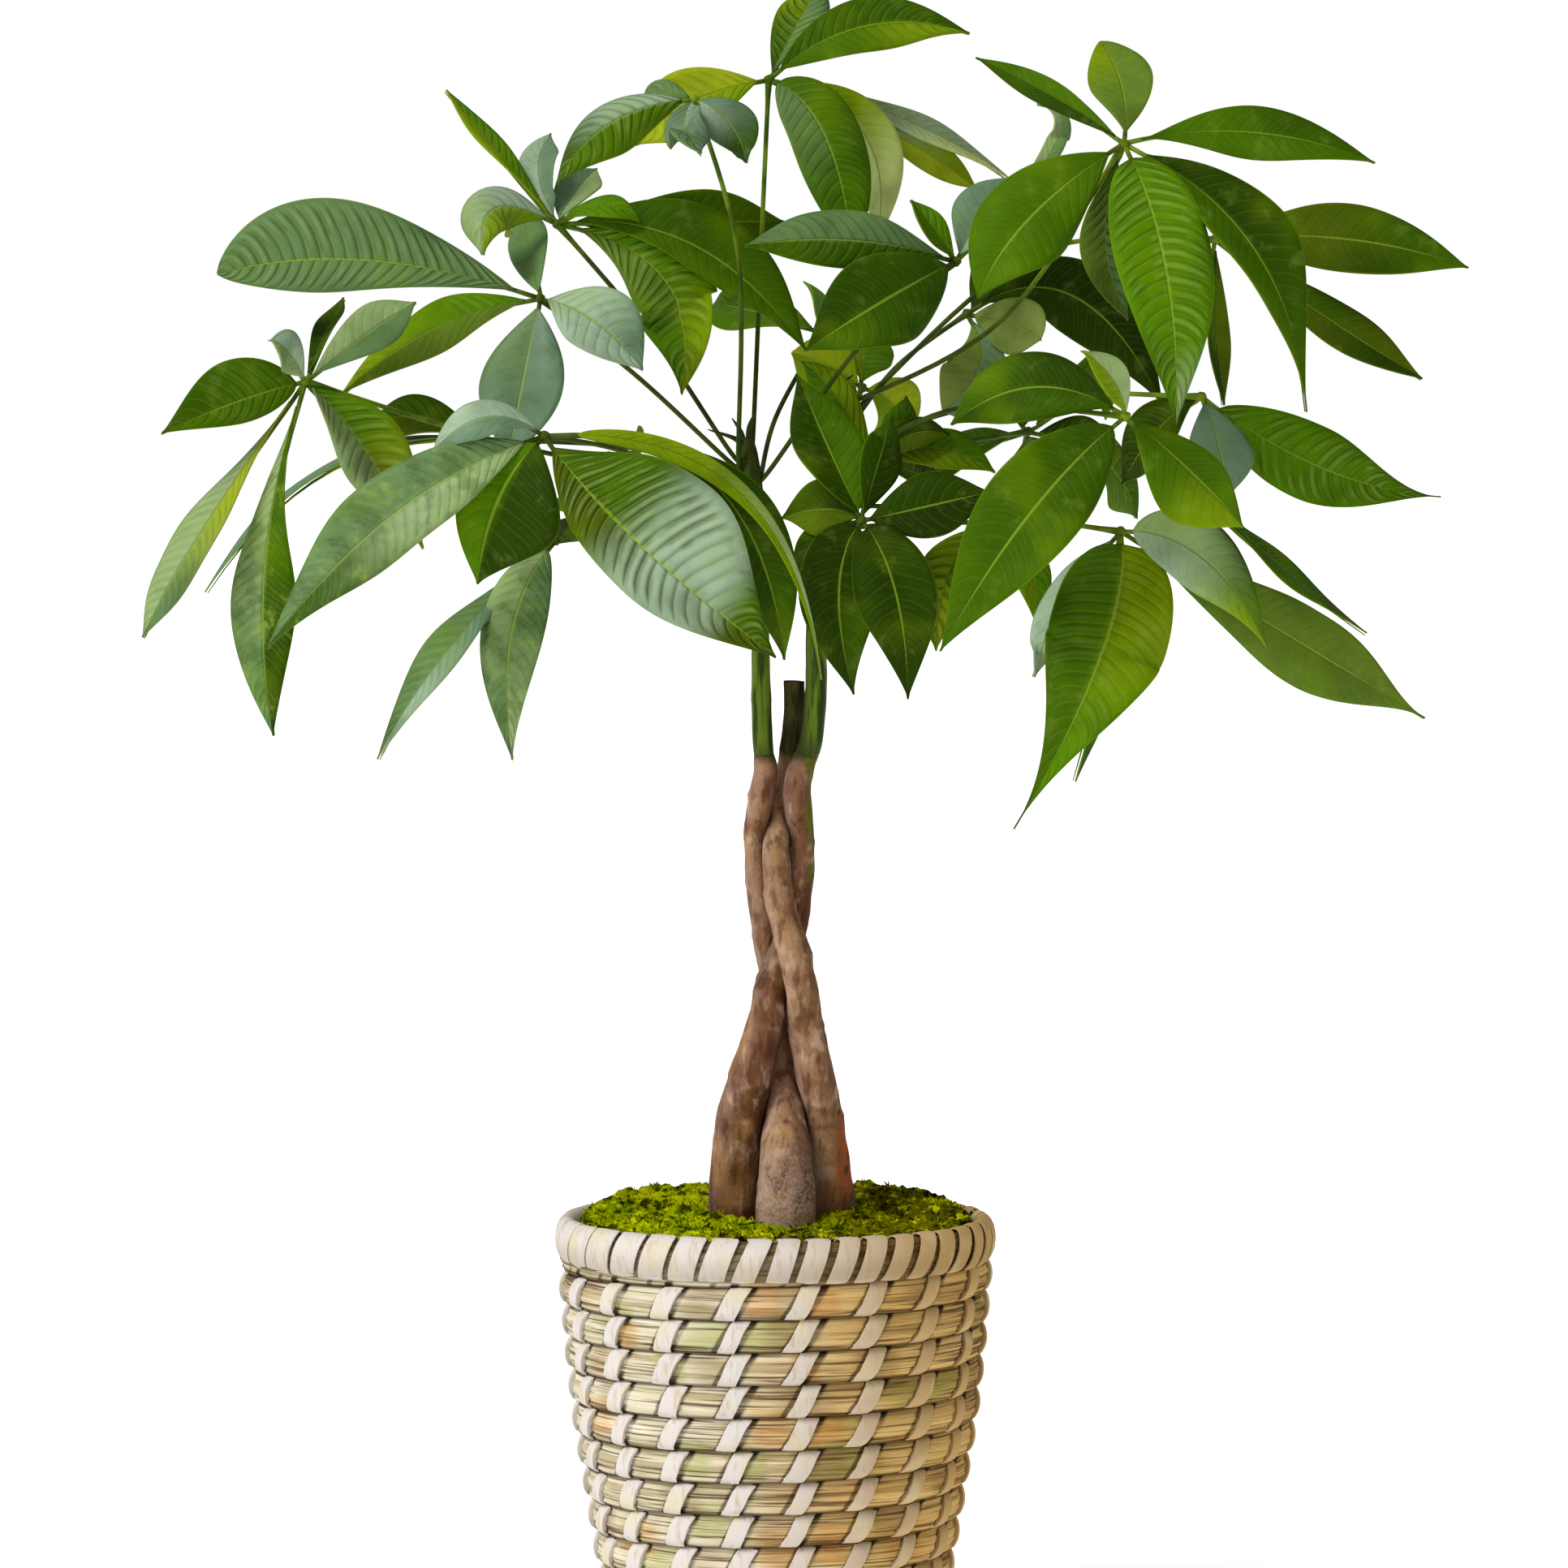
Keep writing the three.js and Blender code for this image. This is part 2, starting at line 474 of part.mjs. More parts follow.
// Compound leaves. hub is where the leaflets meet; on, from and by say which shoot
// the stalk leaves, at what height, and the point that it passes half way.
// Each leaflet: middle across, up, toward; tip across, up, toward; width; turn;
// and, where it isn't the usual one, the widest place along it.
const LEAVES = {
  leaf_far_left: {
    hub: [-216, 583, 60], on: 'shoot_left', from: 535, by: [-118, 553, 22], material: 'leaf_deep',
    leaflets: [
      [-248, 573, 78, -282, 559, 96, 30, 15, 0.45],
      [-260, 519, 86, -291, 465, 92, 27, 42, 0.62],
      [-234, 500, 84, -231, 420, 80, 32, 36, 0.58],
      [-191, 553, 62, -162, 506, 70, 34, 35],
      [-224, 596, 88, -232, 602, 112, 18, 30],
      [-206, 605, 30, -198, 621, 4, 13, 50],
      [-188, 604, 44, -165, 619, 34, 24, 30],
    ],
  },
  leaf_upper_left: {
    hub: [-108, 621, 20], on: 'shoot_left', from: 545, by: [-62, 584, 4], material: 'leaf_grey',
    leaflets: [
      [-186, 639, 36, -256, 632, 44, 46, 12, 0.64],
      [-155, 607, -6, -199, 577, -16, 28, 42],
      [-115, 586, 34, -123, 546, 40, 40, 20],
      [-83, 610, 34, -61, 588, 42, 36, 25],
      [-112, 642, -14, -116, 664, -48, 20, 25],
    ],
  },
  leaf_front_left: {
    hub: [-106, 558, 116], on: 'shoot_left', from: 517, by: [-62, 548, 62], material: 'leaf_bright',
    leaflets: [
      [-173, 523, 128, -234, 460, 124, 38, 25],
      [-133, 566, 122, -158, 549, 118, 18, 30],
      [-127, 529, 122, -137, 490, 112, 50, 16, 0.5],
      [-66, 511, 150, 0, 456, 142, 62, 14],
      [-30, 537, 112, 4, 455, 92, 34, 22, 0.68],
      [-18, 533, 119, 21, 446, 99, 10, 20, 0.32],
    ],
  },
  leaf_low_left: {
    hub: [-101, 510, 44], on: 'shoot_left', from: 509, by: [-52, 512, 28], material: 'leaf_deep',
    leaflets: [
      [-148, 462, 62, -183, 409, 58, 22, 48],
      [-121, 468, 66, -121, 409, 52, 30, 15, 0.45],
      [-80, 514, 56, -64, 500, 66, 24, 40],
      [-90, 520, 6, -84, 530, -38, 30, 60],
    ],
  },
  leaf_high_left: {
    hub: [-100, 655, -12], on: 'shoot_left', from: 550, by: [-56, 603, -8], material: 'leaf_bright',
    leaflets: [
      [-127, 687, -30, -151, 716, -46, 15, 62],
      [-128, 662, 6, -134, 641, 22, 26, 20],
      [-108, 678, -34, -103, 696, -60, 20, 20],
      [-92, 669, -40, -82, 680, -72, 20, 25],
      [-80, 663, 2, -62, 656, 4, 14, 45],
      [-51, 629, 6, -43, 577, 18, 38, 15, 0.58],
      [-38, 645, 6, 14, 597, 12, 31, 25],
      [-45, 656, -42, 4, 656, -66, 30, 12, 0.6],
    ],
  },
  leaf_top: {
    hub: [-3, 721, -26], on: 'shoot_left', from: 554, by: [-6, 655, -28], material: 'leaf_bright',
    leaflets: [
      [40, 745, -28, 89, 742, -34, 27, 22],
      [10, 745, -50, 21, 765, -84, 24, 35],
      [-37, 711, -18, -64, 691, -20, 32, 15],
      [22, 696, -12, 35, 642, -6, 36, 18, 0.5],
      [40, 697, -30, 46, 646, -38, 28, 18],
      [57, 703, -50, 108, 675, -72, 16, 58],
      [52, 697, -42, 92, 671, -58, 18, 42, 0.72],
    ],
  },
  leaf_top_left: {
    hub: [-37, 712, 34], on: 'shoot_left', from: 547, by: [-17, 640, 27], material: 'leaf_grey',
    leaflets: [
      [-75, 701, 46, -100, 673, 54, 25, 26],
      [-41, 700, 58, -34, 687, 82, 22, 35],
      [-22, 702, 48, -13, 683, 56, 24, 20],
      [-52, 713, 16, -58, 705, -4, 18, 50],
    ],
  },
  leaf_high_right: {
    hub: [160, 692, 66], on: 'shoot_right', from: 572, by: [104, 611, 30], material: 'leaf_bright',
    leaflets: [
      [128, 713, 52, 92, 731, 40, 13, 20],
      [159, 717, 44, 149, 738, 12, 29, 8, 0.5],
      [217, 697, 60, 275, 683, 48, 24, 14],
      [117, 658, 84, 93, 621, 92, 42, 10],
      [179, 634, 92, 184, 563, 94, 46, 14, 0.42],
      [219, 643, 70, 244, 569, 62, 36, 36, 0.42],
      [151, 650, 48, 162, 611, 40, 24, 30],
    ],
  },
  leaf_far_right: {
    hub: [202, 648, 6], on: 'shoot_right', from: 567, by: [118, 641, -2], material: 'leaf_deep',
    leaflets: [
      [262, 648, 8, 318, 635, 0, 33, 14],
      [251, 613, 6, 297, 584, -4, 24, 34, 0.6],
      [202, 610, 20, 206, 572, 22, 16, 50],
    ],
  },
  leaf_right: {
    hub: [196, 576, 22], on: 'shoot_right', from: 554, by: [112, 576, -20], material: 'leaf_deep',
    leaflets: [
      [251, 543, 34, 306, 530, 30, 36, 12, 0.42],
      [203, 553, 40, 208, 532, 48, 26, 15],
      [176, 560, 6, 160, 536, -16, 30, 40],
    ],
  },
  leaf_front_right: {
    hub: [161, 567, 118], on: 'shoot_right', from: 546, by: [86, 571, 54], material: 'leaf_bright',
    leaflets: [
      [117, 522, 138, 76, 459, 130, 45, 8, 0.45],
      [120, 580, 112, 81, 563, 98, 36, 20],
      [155, 583, 136, 141, 597, 152, 16, 30],
      [191, 542, 116, 215, 516, 104, 35, 20],
      [215, 512, 92, 272, 467, 60, 22, 74],
    ],
  },
  leaf_low_right: {
    hub: [159, 514, 84], on: 'shoot_right', from: 526, by: [84, 524, 44], material: 'leaf_bright',
    leaflets: [
      [150, 457, 116, 110, 377, 108, 55, 6, 0.38],
      [150, 450, 84, 138, 399, 74, 20, 70],
      [196, 502, 92, 226, 461, 88, 33, 20, 0.42],
      [234, 467, 62, 299, 428, 40, 36, 14, 0.58],
      [138, 480, 78, 124, 446, 74, 22, 30],
    ],
  },
  leaf_inner_right: {
    hub: [83, 638, 22], on: 'shoot_left', from: 541, by: [38, 598, 26], material: 'leaf_deep',
    leaflets: [
      [36, 647, 46, -14, 645, 58, 30, 28],
      [50, 620, 66, 14, 597, 84, 44, 10],
      [95, 659, 8, 108, 676, -10, 30, 20],
      [73, 652, 28, 62, 666, 30, 13, 30],
      [128, 690, -14, 120, 710, -30, 10, 24, 0.5],
    ],
  },
  leaf_inner_dark: {
    hub: [88, 614, -14], on: 'shoot_right', from: 561, by: [56, 590, -16], material: 'leaf_deep',
    leaflets: [
      [110, 608, -2, 122, 602, 6, 28, 10],
      [94, 590, 8, 77, 569, 20, 32, 15, 0.66],
      [136, 622, -30, 178, 572, -44, 36, 18],
      [102, 630, -44, 110, 640, -86, 26, 40],
    ],
  },
  leaf_centre: {
    hub: [40, 519, 62], on: 'shoot_right', from: 505, by: [32, 516, 26], material: 'leaf_deep',
    leaflets: [
      [29, 488, 76, 36, 439, 72, 38, 10, 0.42],
      [55, 486, 80, 61, 437, 74, 34, 12, 0.42],
      [68, 525, 68, 99, 532, 66, 31, 12],
      [24, 506, 56, 8, 488, 50, 28, 24],
      [25, 550, 48, 10, 586, 34, 32, 20],
      [46, 543, 50, 54, 566, 38, 22, 30],
    ],
  },
  leaf_centre_green: {
    hub: [46, 545, 0], on: 'shoot_right', from: 536, by: [36, 541, -4], material: 'leaf_bright',
    leaflets: [
      [74, 552, 12, 101, 541, 14, 20, 20],
      [29, 574, 2, 12, 592, 0, 18, 20],
      [56, 561, 6, 60, 576, 4, 16, 25],
      [62, 558, 14, 80, 558, 16, 16, 30],
      [64, 540, -14, 78, 530, -44, 24, 50],
    ],
  },
  leaf_centre_low: {
    hub: [100, 518, 36], on: 'shoot_right', from: 515, by: [62, 518, 14], material: 'leaf_bright',
    leaflets: [
      [80, 495, 52, 74, 459, 56, 26, 12],
      [116, 500, 44, 120, 470, 44, 18, 20],
      [96, 495, 34, 92, 478, 20, 30, 30],
    ],
  },
  leaf_back_glow: {
    hub: [40, 580, -62], on: 'shoot_right', from: 550, by: [34, 566, -34], material: 'leaf_bright',
    leaflets: [
      [24, 590, -66, 8, 596, -84, 30, 10],
      [40, 596, -84, 42, 603, -124, 30, 20],
      [54, 572, -80, 60, 556, -110, 30, 20],
      [30, 564, -92, 22, 540, -128, 38, 20],
    ],
  },
  leaf_back_left: {
    hub: [-60, 543, -112], on: 'shoot_left', from: 526, by: [-34, 545, -58], material: 'leaf_deep',
    leaflets: [
      [-82, 534, -138, -96, 532, -172, 38, 60],
      [-58, 530, -156, -52, 504, -192, 40, 55],
      [-30, 530, -140, -8, 512, -160, 36, 55],
      [-66, 546, -160, -64, 540, -212, 36, 65],
    ],
  },
  leaf_left_behind: {
    hub: [-134, 556, 6], on: 'shoot_left', from: 540, by: [-70, 553, -20], material: 'leaf_grey',
    leaflets: [
      [-204, 543, -8, -262, 486, -22, 18, 76],
      [-162, 566, -2, -186, 563, -14, 22, 30],
      [-152, 552, -44, -158, 544, -86, 30, 60],
    ],
  },
  leaf_back_right: {
    hub: [116, 560, -108], on: 'shoot_right', from: 529, by: [66, 550, -54], material: 'leaf_deep',
    leaflets: [
      [148, 548, -138, 166, 520, -168, 42, 55],
      [112, 540, -150, 104, 512, -190, 42, 55],
      [80, 546, -140, 58, 526, -172, 36, 55],
      [140, 576, -144, 150, 582, -196, 34, 60],
      [104, 574, -156, 92, 580, -214, 36, 60],
    ],
  },
  leaf_back: {
    hub: [22, 606, -112], on: 'shoot_left', from: 532, by: [0, 566, -72], material: 'leaf_deep',
    leaflets: [
      [-10, 614, -150, -28, 618, -198, 34, 60],
      [20, 610, -154, 26, 618, -210, 40, 60],
      [40, 620, -140, 62, 628, -178, 36, 60],
      [30, 576, -148, 34, 548, -184, 34, 55],
    ],
  },
};

function leafBody(leaf) {
  const hub = place(...leaf.hub);
  let solid = solidOf(new THREE.OctahedronGeometry(KNOB).translate(hub.x, hub.y, hub.z));
  solid = solid.add(solidOf(petiole(leaf, hub)));
  leaf.leaflets.forEach((row) => {
    solid = solid.add(solidOf(leaflet(hub, row)));
  });
  return geometryOf(solid.simplify(TIDY));
}

// The whole plant
const plant = new THREE.Group();
plant.name = 'potted_money_tree';

function add(name, geometry, material) {
  const mesh = new THREE.Mesh(geometry, MATERIALS[material]);
  mesh.name = name;
  plant.add(mesh);
}

let soil = solidOf(soilBody());
let moss = solidOf(mossBody());
Object.keys(TRUNKS).forEach((name) => {
  const hole = solidOf(trunkBody(name, GAP));
  soil = soil.subtract(hole);
  moss = moss.subtract(hole);
});

add('basket_coil', basketCoil(), 'seagrass');
add('basket_binding', basketBinding(), 'palm_strip');
add('grow_pot', growPot(), 'pot_plastic');
add('soil', geometryOf(soil), 'soil');
add('moss', geometryOf(moss), 'moss');
Object.keys(TRUNKS).forEach((name) => add(name, trunkBody(name), 'bark'));
Object.keys(SHOOTS).forEach((name) => add(name, shootBody(name), 'green_stem'));
Object.entries(LEAVES).forEach(([name, leaf]) => add(name, leafBody(leaf), leaf.material));

export default plant;
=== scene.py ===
# %% [markdown]
# # A money tree in a seagrass basket
# The frame is the imported CAD model: a basket, three plaited trunks, two green
# shoots and every compound leaf, as plain solids at their real place and size.
# Each gets a finer piece that takes its place, and a finish.

# %% Load the frame
import bpy
import json
import math
import random
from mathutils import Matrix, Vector, noise


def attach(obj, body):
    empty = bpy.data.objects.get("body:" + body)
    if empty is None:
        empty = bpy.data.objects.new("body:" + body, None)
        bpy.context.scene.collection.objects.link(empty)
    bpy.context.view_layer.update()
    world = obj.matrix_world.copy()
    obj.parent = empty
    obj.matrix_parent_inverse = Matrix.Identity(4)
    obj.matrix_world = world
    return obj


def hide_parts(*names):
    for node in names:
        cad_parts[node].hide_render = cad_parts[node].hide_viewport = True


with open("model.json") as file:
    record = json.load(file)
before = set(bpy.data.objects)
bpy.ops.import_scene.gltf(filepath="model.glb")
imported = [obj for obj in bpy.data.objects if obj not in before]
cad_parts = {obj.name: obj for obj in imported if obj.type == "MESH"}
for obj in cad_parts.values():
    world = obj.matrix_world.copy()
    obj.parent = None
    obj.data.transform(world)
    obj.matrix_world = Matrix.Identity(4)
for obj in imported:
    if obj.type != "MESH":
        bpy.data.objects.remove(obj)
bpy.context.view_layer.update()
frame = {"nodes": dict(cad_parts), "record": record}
chance = random.Random(7)
MM = 0.001
print("solids in the frame:", len(frame["nodes"]))


# %% [markdown]
# ## Tools of the bench
# Operators act on what is selected, and the frame arrives selected. So every step
# lets go of everything and picks one piece first.

# %% Picking, modifying and joining
def let_go():
    bpy.ops.object.select_all(action="DESELECT")


def pick(piece):
    let_go()
    piece.select_set(True)
    bpy.context.view_layer.objects.active = piece


def modify(piece, kind, **settings):
    pick(piece)
    modifier = piece.modifiers.new(kind, kind)
    for name, value in settings.items():
        setattr(modifier, name, value)
    bpy.ops.object.modifier_apply(modifier=modifier.name)


def join(pieces, name):
    let_go()
    for piece in pieces:
        piece.select_set(True)
    bpy.context.view_layer.objects.active = pieces[0]
    bpy.ops.object.join()
    pieces[0].name = name
    return pieces[0]


def close_up(piece):
    pick(piece)
    bpy.ops.object.mode_set(mode="EDIT")
    bpy.ops.mesh.select_all(action="SELECT")
    bpy.ops.mesh.remove_doubles(threshold=0.02 * MM)
    bpy.ops.mesh.normals_make_consistent(inside=False)
    bpy.ops.object.mode_set(mode="OBJECT")


def smooth(piece):
    pick(piece)
    bpy.ops.object.shade_smooth()


def lift_to_floor(piece):
    for vertex in piece.data.vertices:
        vertex.co.z = max(vertex.co.z, 0)


def stand_for(piece, node, slot):
    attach(piece, "root")
    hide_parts(node)
    print(piece.name, "has", len(piece.data.polygons), "faces")


# %% [markdown]
# ## Two ways to start a piece
# A blade, a strip or a bed of moss is a sheet: a grid whose rows and columns are
# moved to where the sheet lies. A trunk, a stalk or a coil of grass is round and
# long: a curve with a bevel and a radius at each point, converted to a mesh.

# %% A sheet from a grid
def sheet(name, rows, columns, lay):
    let_go()
    bpy.ops.mesh.primitive_grid_add(x_subdivisions=rows, y_subdivisions=columns, size=1)
    piece = bpy.context.object
    piece.name = name
    for vertex in piece.data.vertices:
        vertex.co = lay(vertex.co.x + 0.5, vertex.co.y + 0.5)
    return piece


# %% A round length from a bevelled curve
def length_of(name, points, radii, sides=8, section=None):
    curve = bpy.data.curves.new(name, "CURVE")
    curve.dimensions = "3D"
    spline = curve.splines.new("POLY")
    spline.points.add(len(points) - 1)
    for place_on, point, radius in zip(spline.points, points, radii):
        place_on.co = (*point, 1)
        place_on.radius = radius
    if section:
        curve.bevel_mode = "OBJECT"
        curve.bevel_object = section
        curve.twist_mode = "Z_UP"
    else:
        curve.bevel_depth = 1
        curve.bevel_resolution = max(0, sides // 4 - 1) * 2
    curve.use_fill_caps = True
    piece = bpy.data.objects.new(name, curve)
    bpy.context.scene.collection.objects.link(piece)
    pick(piece)
    bpy.ops.object.convert(target="MESH")
    piece = bpy.context.object
    close_up(piece)
    smooth(piece)
    return piece


def even_out(rows, steps):
    """A smooth run through the rows, with so many steps between two of them."""
    out = []
    for i in range(len(rows) - 1):
        a = rows[max(i - 1, 0)]
        b, c = rows[i], rows[i + 1]
        d = rows[min(i + 2, len(rows) - 1)]
        for k in range(steps):
            t = k / steps
            out.append([
                0.5 * (2 * q + (r - p) * t + (2 * p - 5 * q + 4 * r - s) * t * t
                       + (3 * q - p - 3 * r + s) * t ** 3)
                for p, q, r, s in zip(a, b, c, d)
            ])
    out.append(list(rows[-1]))
    return out


# %% A smooth step and a bell
def ease(x):
    """0 up to x = 0, 1 from x = 1 on, and smooth between them."""
    x = min(max(x, 0), 1)
    return x * x * (3 - 2 * x)


def bell(x, width):
    return math.exp(-(x / width) ** 2)


# %% [markdown]
# ## Shader maths
# A finish is easier to read as a formula. This class wraps one socket of a node
# tree, and adding or multiplying two of them adds the Math node that does it.
# Colours are written as a screen shows them, 0 to 255.

# %% One value in a material
def sRGB(red, green, blue):
    """A screen's colour turned into light."""
    light = [((c / 255 + 0.055) / 1.055) ** 2.4 if c > 10 else c / 3295
             for c in (red, green, blue)]
    return (*light, 1)


class Value:
    def __init__(self, tree, socket):
        self.tree = tree
        self.socket = socket

    def node(self, kind, inputs, output=0, **settings):
        made = self.tree.nodes.new(kind)
        for name, value in settings.items():
            setattr(made, name, value)
        for name, value in inputs.items():
            if isinstance(value, Value):
                self.tree.links.new(value.socket, made.inputs[name])
            else:
                made.inputs[name].default_value = value
        return Value(self.tree, made.outputs[output])

    def math(self, operation, *others):
        inputs = {i: other for i, other in enumerate([self, *others])}
        return self.node("ShaderNodeMath", inputs, operation=operation)

    def __add__(self, other):
        return self.math("ADD", other)

    def __mul__(self, other):
        return self.math("MULTIPLY", other)

    def __sub__(self, other):
        return self.math("SUBTRACT", other)

    def __rsub__(self, other):
        return (self * -1) + other

    def __truediv__(self, other):
        return self.math("DIVIDE", other)

    def __pow__(self, other):
        return self.math("POWER", other)

    __radd__ = __add__
    __rmul__ = __mul__

    def between(self, low, high):
        """0 at low, 1 at high and smooth between them."""
        inputs = {0: self, 1: low, 2: high}
        return self.node("ShaderNodeMapRange", inputs, interpolation_type="SMOOTHSTEP")

    def mix(self, first, second):
        """The first colour where this value is 0, the second where it is 1."""
        first, second = (c if isinstance(c, Value) else sRGB(*c) for c in (first, second))
        inputs = {0: self, 6: first, 7: second}
        return self.node("ShaderNodeMix", inputs, output=2, data_type="RGBA")

    def coats(self, *coats):
        """Colours laid over this one, each where its pattern goes from low to high."""
        colour = self
        for pattern, low, high, strength, coat in coats:
            colour = (pattern.between(low, high) * strength).mix(colour, coat)
        return colour

    def parts(self):
        cut = self.node("ShaderNodeSeparateXYZ", {0: self}).socket.node
        return [Value(self.tree, socket) for socket in cut.outputs]


# %% A finish, its patterns and its coordinates
class Finish:
    def __init__(self, name, **constants):
        self.material = bpy.data.materials.new(name)
        self.material.use_nodes = True
        self.tree = self.material.node_tree
        self.shader = self.tree.nodes["Principled BSDF"]
        for key, value in constants.items():
            self.shader.inputs[key.replace("_", " ")].default_value = value
        where = self.tree.nodes.new("ShaderNodeTexCoord")
        self.object = Value(self.tree, where.outputs["Object"])
        self.uv = Value(self.tree, where.outputs["UV"])

    def set(self, socket, value):
        self.tree.links.new(value.socket, self.shader.inputs[socket])

    def noise(self, scale, detail=3.0, roughness=0.55):
        """Noise at one scale, or stretched by three: across, along and up."""
        vector = self.object
        if isinstance(scale, tuple):
            vector = vector.node("ShaderNodeMapping", {"Vector": vector, "Scale": scale})
            scale = 1.0
        inputs = {"Vector": vector, "Scale": scale, "Detail": detail, "Roughness": roughness}
        return vector.node("ShaderNodeTexNoise", inputs)

    def attribute(self, name, output="Color"):
        return self.object.node("ShaderNodeAttribute", {}, output, attribute_name=name)

    def bump(self, height, distance, strength=1.0):
        inputs = {"Height": height, "Distance": distance, "Strength": strength}
        self.set("Normal", height.node("ShaderNodeBump", inputs))


def dress(piece, *finishes):
    piece.data.materials.clear()
    for finish in finishes:
        piece.data.materials.append(finish.material)


# %% [markdown]
# ## Where things stand
# The plant is laid out as seen from the front, at eye level with its crown. Across
# and up are read in the plane of the trunks, and toward is how far a point comes
# forward from it, as in the frame.

# %% The eye and the basket's outline
EYE_DISTANCE = 3500
EYE_HEIGHT = 598
AIM_ACROSS = 4
AIM_HEIGHT = 397.7
BASKET_OUTLINE = [
    (0, 77), (35, 83), (76, 89.5), (106, 94.5), (136, 97.7), (174, 101), (200, 101.7),
]
ROW = 15
ROWS = 12
FIRST_ROW = 7.8


def place(across, up, toward):
    k = (EYE_DISTANCE - toward) / EYE_DISTANCE
    return Vector((across * k, -toward, EYE_HEIGHT + (up - EYE_HEIGHT) * k)) * MM


def outline(z):
    for (z0, r0), (z1, r1) in zip(BASKET_OUTLINE, BASKET_OUTLINE[1:]):
        if z <= z1:
            return r0 + (r1 - r0) * (z - z0) / (z1 - z0)
    return BASKET_OUTLINE[-1][1]


def round_the_basket(angle, radius, z):
    return Vector((radius * math.cos(angle), radius * math.sin(angle), z)) * MM


# %% [markdown]
# ## The grass coil
# The wall is one long bundle of seagrass in a rising coil, which a torus for each
# row would miss. So a curve climbs a row with every turn. Its section is a flat
# round with the lobes of single stalks, and its radius shrinks at every stitch.

# %% Model the coil
COLUMNS = 19
FIRST_COLUMN = -1.44
COIL_TOP = 186
SINK = 6.6
FLOOR_REACH = 74.5


def grass_section(half_depth, half_height, stalks=13):
    curve = bpy.data.curves.new("section", "CURVE")
    spline = curve.splines.new("POLY")
    count = stalks * 2
    spline.points.add(count - 1)
    spline.use_cyclic_u = True
    lobes = random.Random(3)
    deep = [0.1 + lobes.random() * 0.1 for _ in range(stalks)]
    for i, point in enumerate(spline.points):
        angle = i / count * math.tau
        dent = deep[i // 2] if i % 2 == 0 else 0
        depth = half_depth * (1 - dent) * math.cos(angle)
        height = half_height * (1 - dent * 0.7) * math.sin(angle)
        point.co = (depth, height, 0, 1)
    section = bpy.data.objects.new("section", curve)
    bpy.context.scene.collection.objects.link(section)
    return section


def coil_height(turns):
    return FIRST_ROW + (turns - 0.5) * ROW


def drawn_in(angle):
    """How much the nearest stitch draws the grass in, from 0 to 1."""
    off = (angle - 0.045 - FIRST_COLUMN) / math.tau * COLUMNS % 1
    return bell(min(off, 1 - off) * 2, 0.36)


per_turn = COLUMNS * 8
points, plump = [], []
for i in range(per_turn * (ROWS + 1) + 1):
    z = min(max(coil_height(i / per_turn), FIRST_ROW), COIL_TOP)
    angle = i / per_turn * math.tau + math.pi
    points.append(round_the_basket(angle, outline(z) - SINK, z))
    swell = 0.035 * noise.noise(Vector((i * 0.21, 0, 3)))
    plump.append(1.03 - 0.12 * drawn_in(angle) + swell)
section = grass_section(5.2 * MM, 9.4 * MM)
coil = length_of("grass_coil", points, plump, section=section)
lift_to_floor(coil)
bpy.data.objects.remove(section)

# %% Close the coil's floor
def floor_lay(along, across):
    """The upper face in the first half of the rows, then back along the lower one."""
    reach = min(across * 2, (1 - across) * 2) * FLOOR_REACH
    z = 0.6 if across > 0.5 else 3 + 5 * (across < 0.5) + 0.9 * math.cos(reach * 0.8)
    return round_the_basket(along * math.tau, reach, z)


basket_floor = sheet("basket_floor", 64, 40, floor_lay)
close_up(basket_floor)
coil = join([coil, basket_floor], "seagrass_wall")


# %% [markdown]
# ## Palm stitches
# A strip of pale palm leaf is pulled over every row and under the one above, in
# leaning columns. A stitch is a narrow sheet bent over the row's belly, and each
# varies a little in width, lean and seat, as hand work does.

# %% Model the stitches
STITCH = 9.4
LEAN = 9.5
STRIP = 3.0
STRIP_FOOT = 5.4
STRIP_RISE = 5.2
HIGHEST_STITCH = 170
WALL_TOP = 180


def stitch(angle, low, width, lean):
    top = min(low + ROW + 0.7, WALL_TOP)
    foot = low - 0.9

    def lay(along, across):
        z = foot + along * (top - foot)
        belly = math.sqrt(max(0, 1 - (2 * along - 1) ** 2))
        radius = outline(low + ROW / 2) - STRIP_FOOT + STRIP_RISE * belly
        crown = 0.22 * (1 - (2 * across - 1) ** 2)
        sway = along - 0.5 + 0.04 * math.sin(math.tau * along)
        shift = (across - 0.5) * width + lean * sway
        return round_the_basket(angle + shift / radius, radius + crown, z)
    piece = sheet("stitch", 8, 4, lay)
    modify(piece, "SOLIDIFY", thickness=STRIP * MM, offset=1)
    lift_to_floor(piece)
    return piece


stitches = []
for column in range(COLUMNS):
    for row in range(ROWS + 1):
        centre = FIRST_COLUMN + column / COLUMNS * math.tau
        centre += chance.uniform(-0.014, 0.014)
        turns = row + ((centre - math.pi) % math.tau) / math.tau
        low = coil_height(turns) - ROW / 2
        if -3 < low < HIGHEST_STITCH:
            width = STITCH * chance.uniform(0.86, 1.04)
            lean = LEAN + 1.5 * math.cos(centre) + chance.uniform(-1, 1)
            stitches.append(stitch(centre, max(low, 0.6), width, lean))
print("stitches:", len(stitches))


# %% [markdown]
# ## The wrapped rim
# The last turn is thicker and bound all the way with wide leaning strips, side by
# side, with the grass showing between them. Each wrap is a sheet laid round the
# roll's section, from the outside foot over to the inside.

# %% Model the rim
RIM_MIDDLE = 96.4
RIM_HEIGHT = 188.0
ROLL_DEPTH = 4.7
ROLL_HEIGHT = 9.6
WRAP = 0.7
WRAP_START = -80
WRAP_TURN = 335


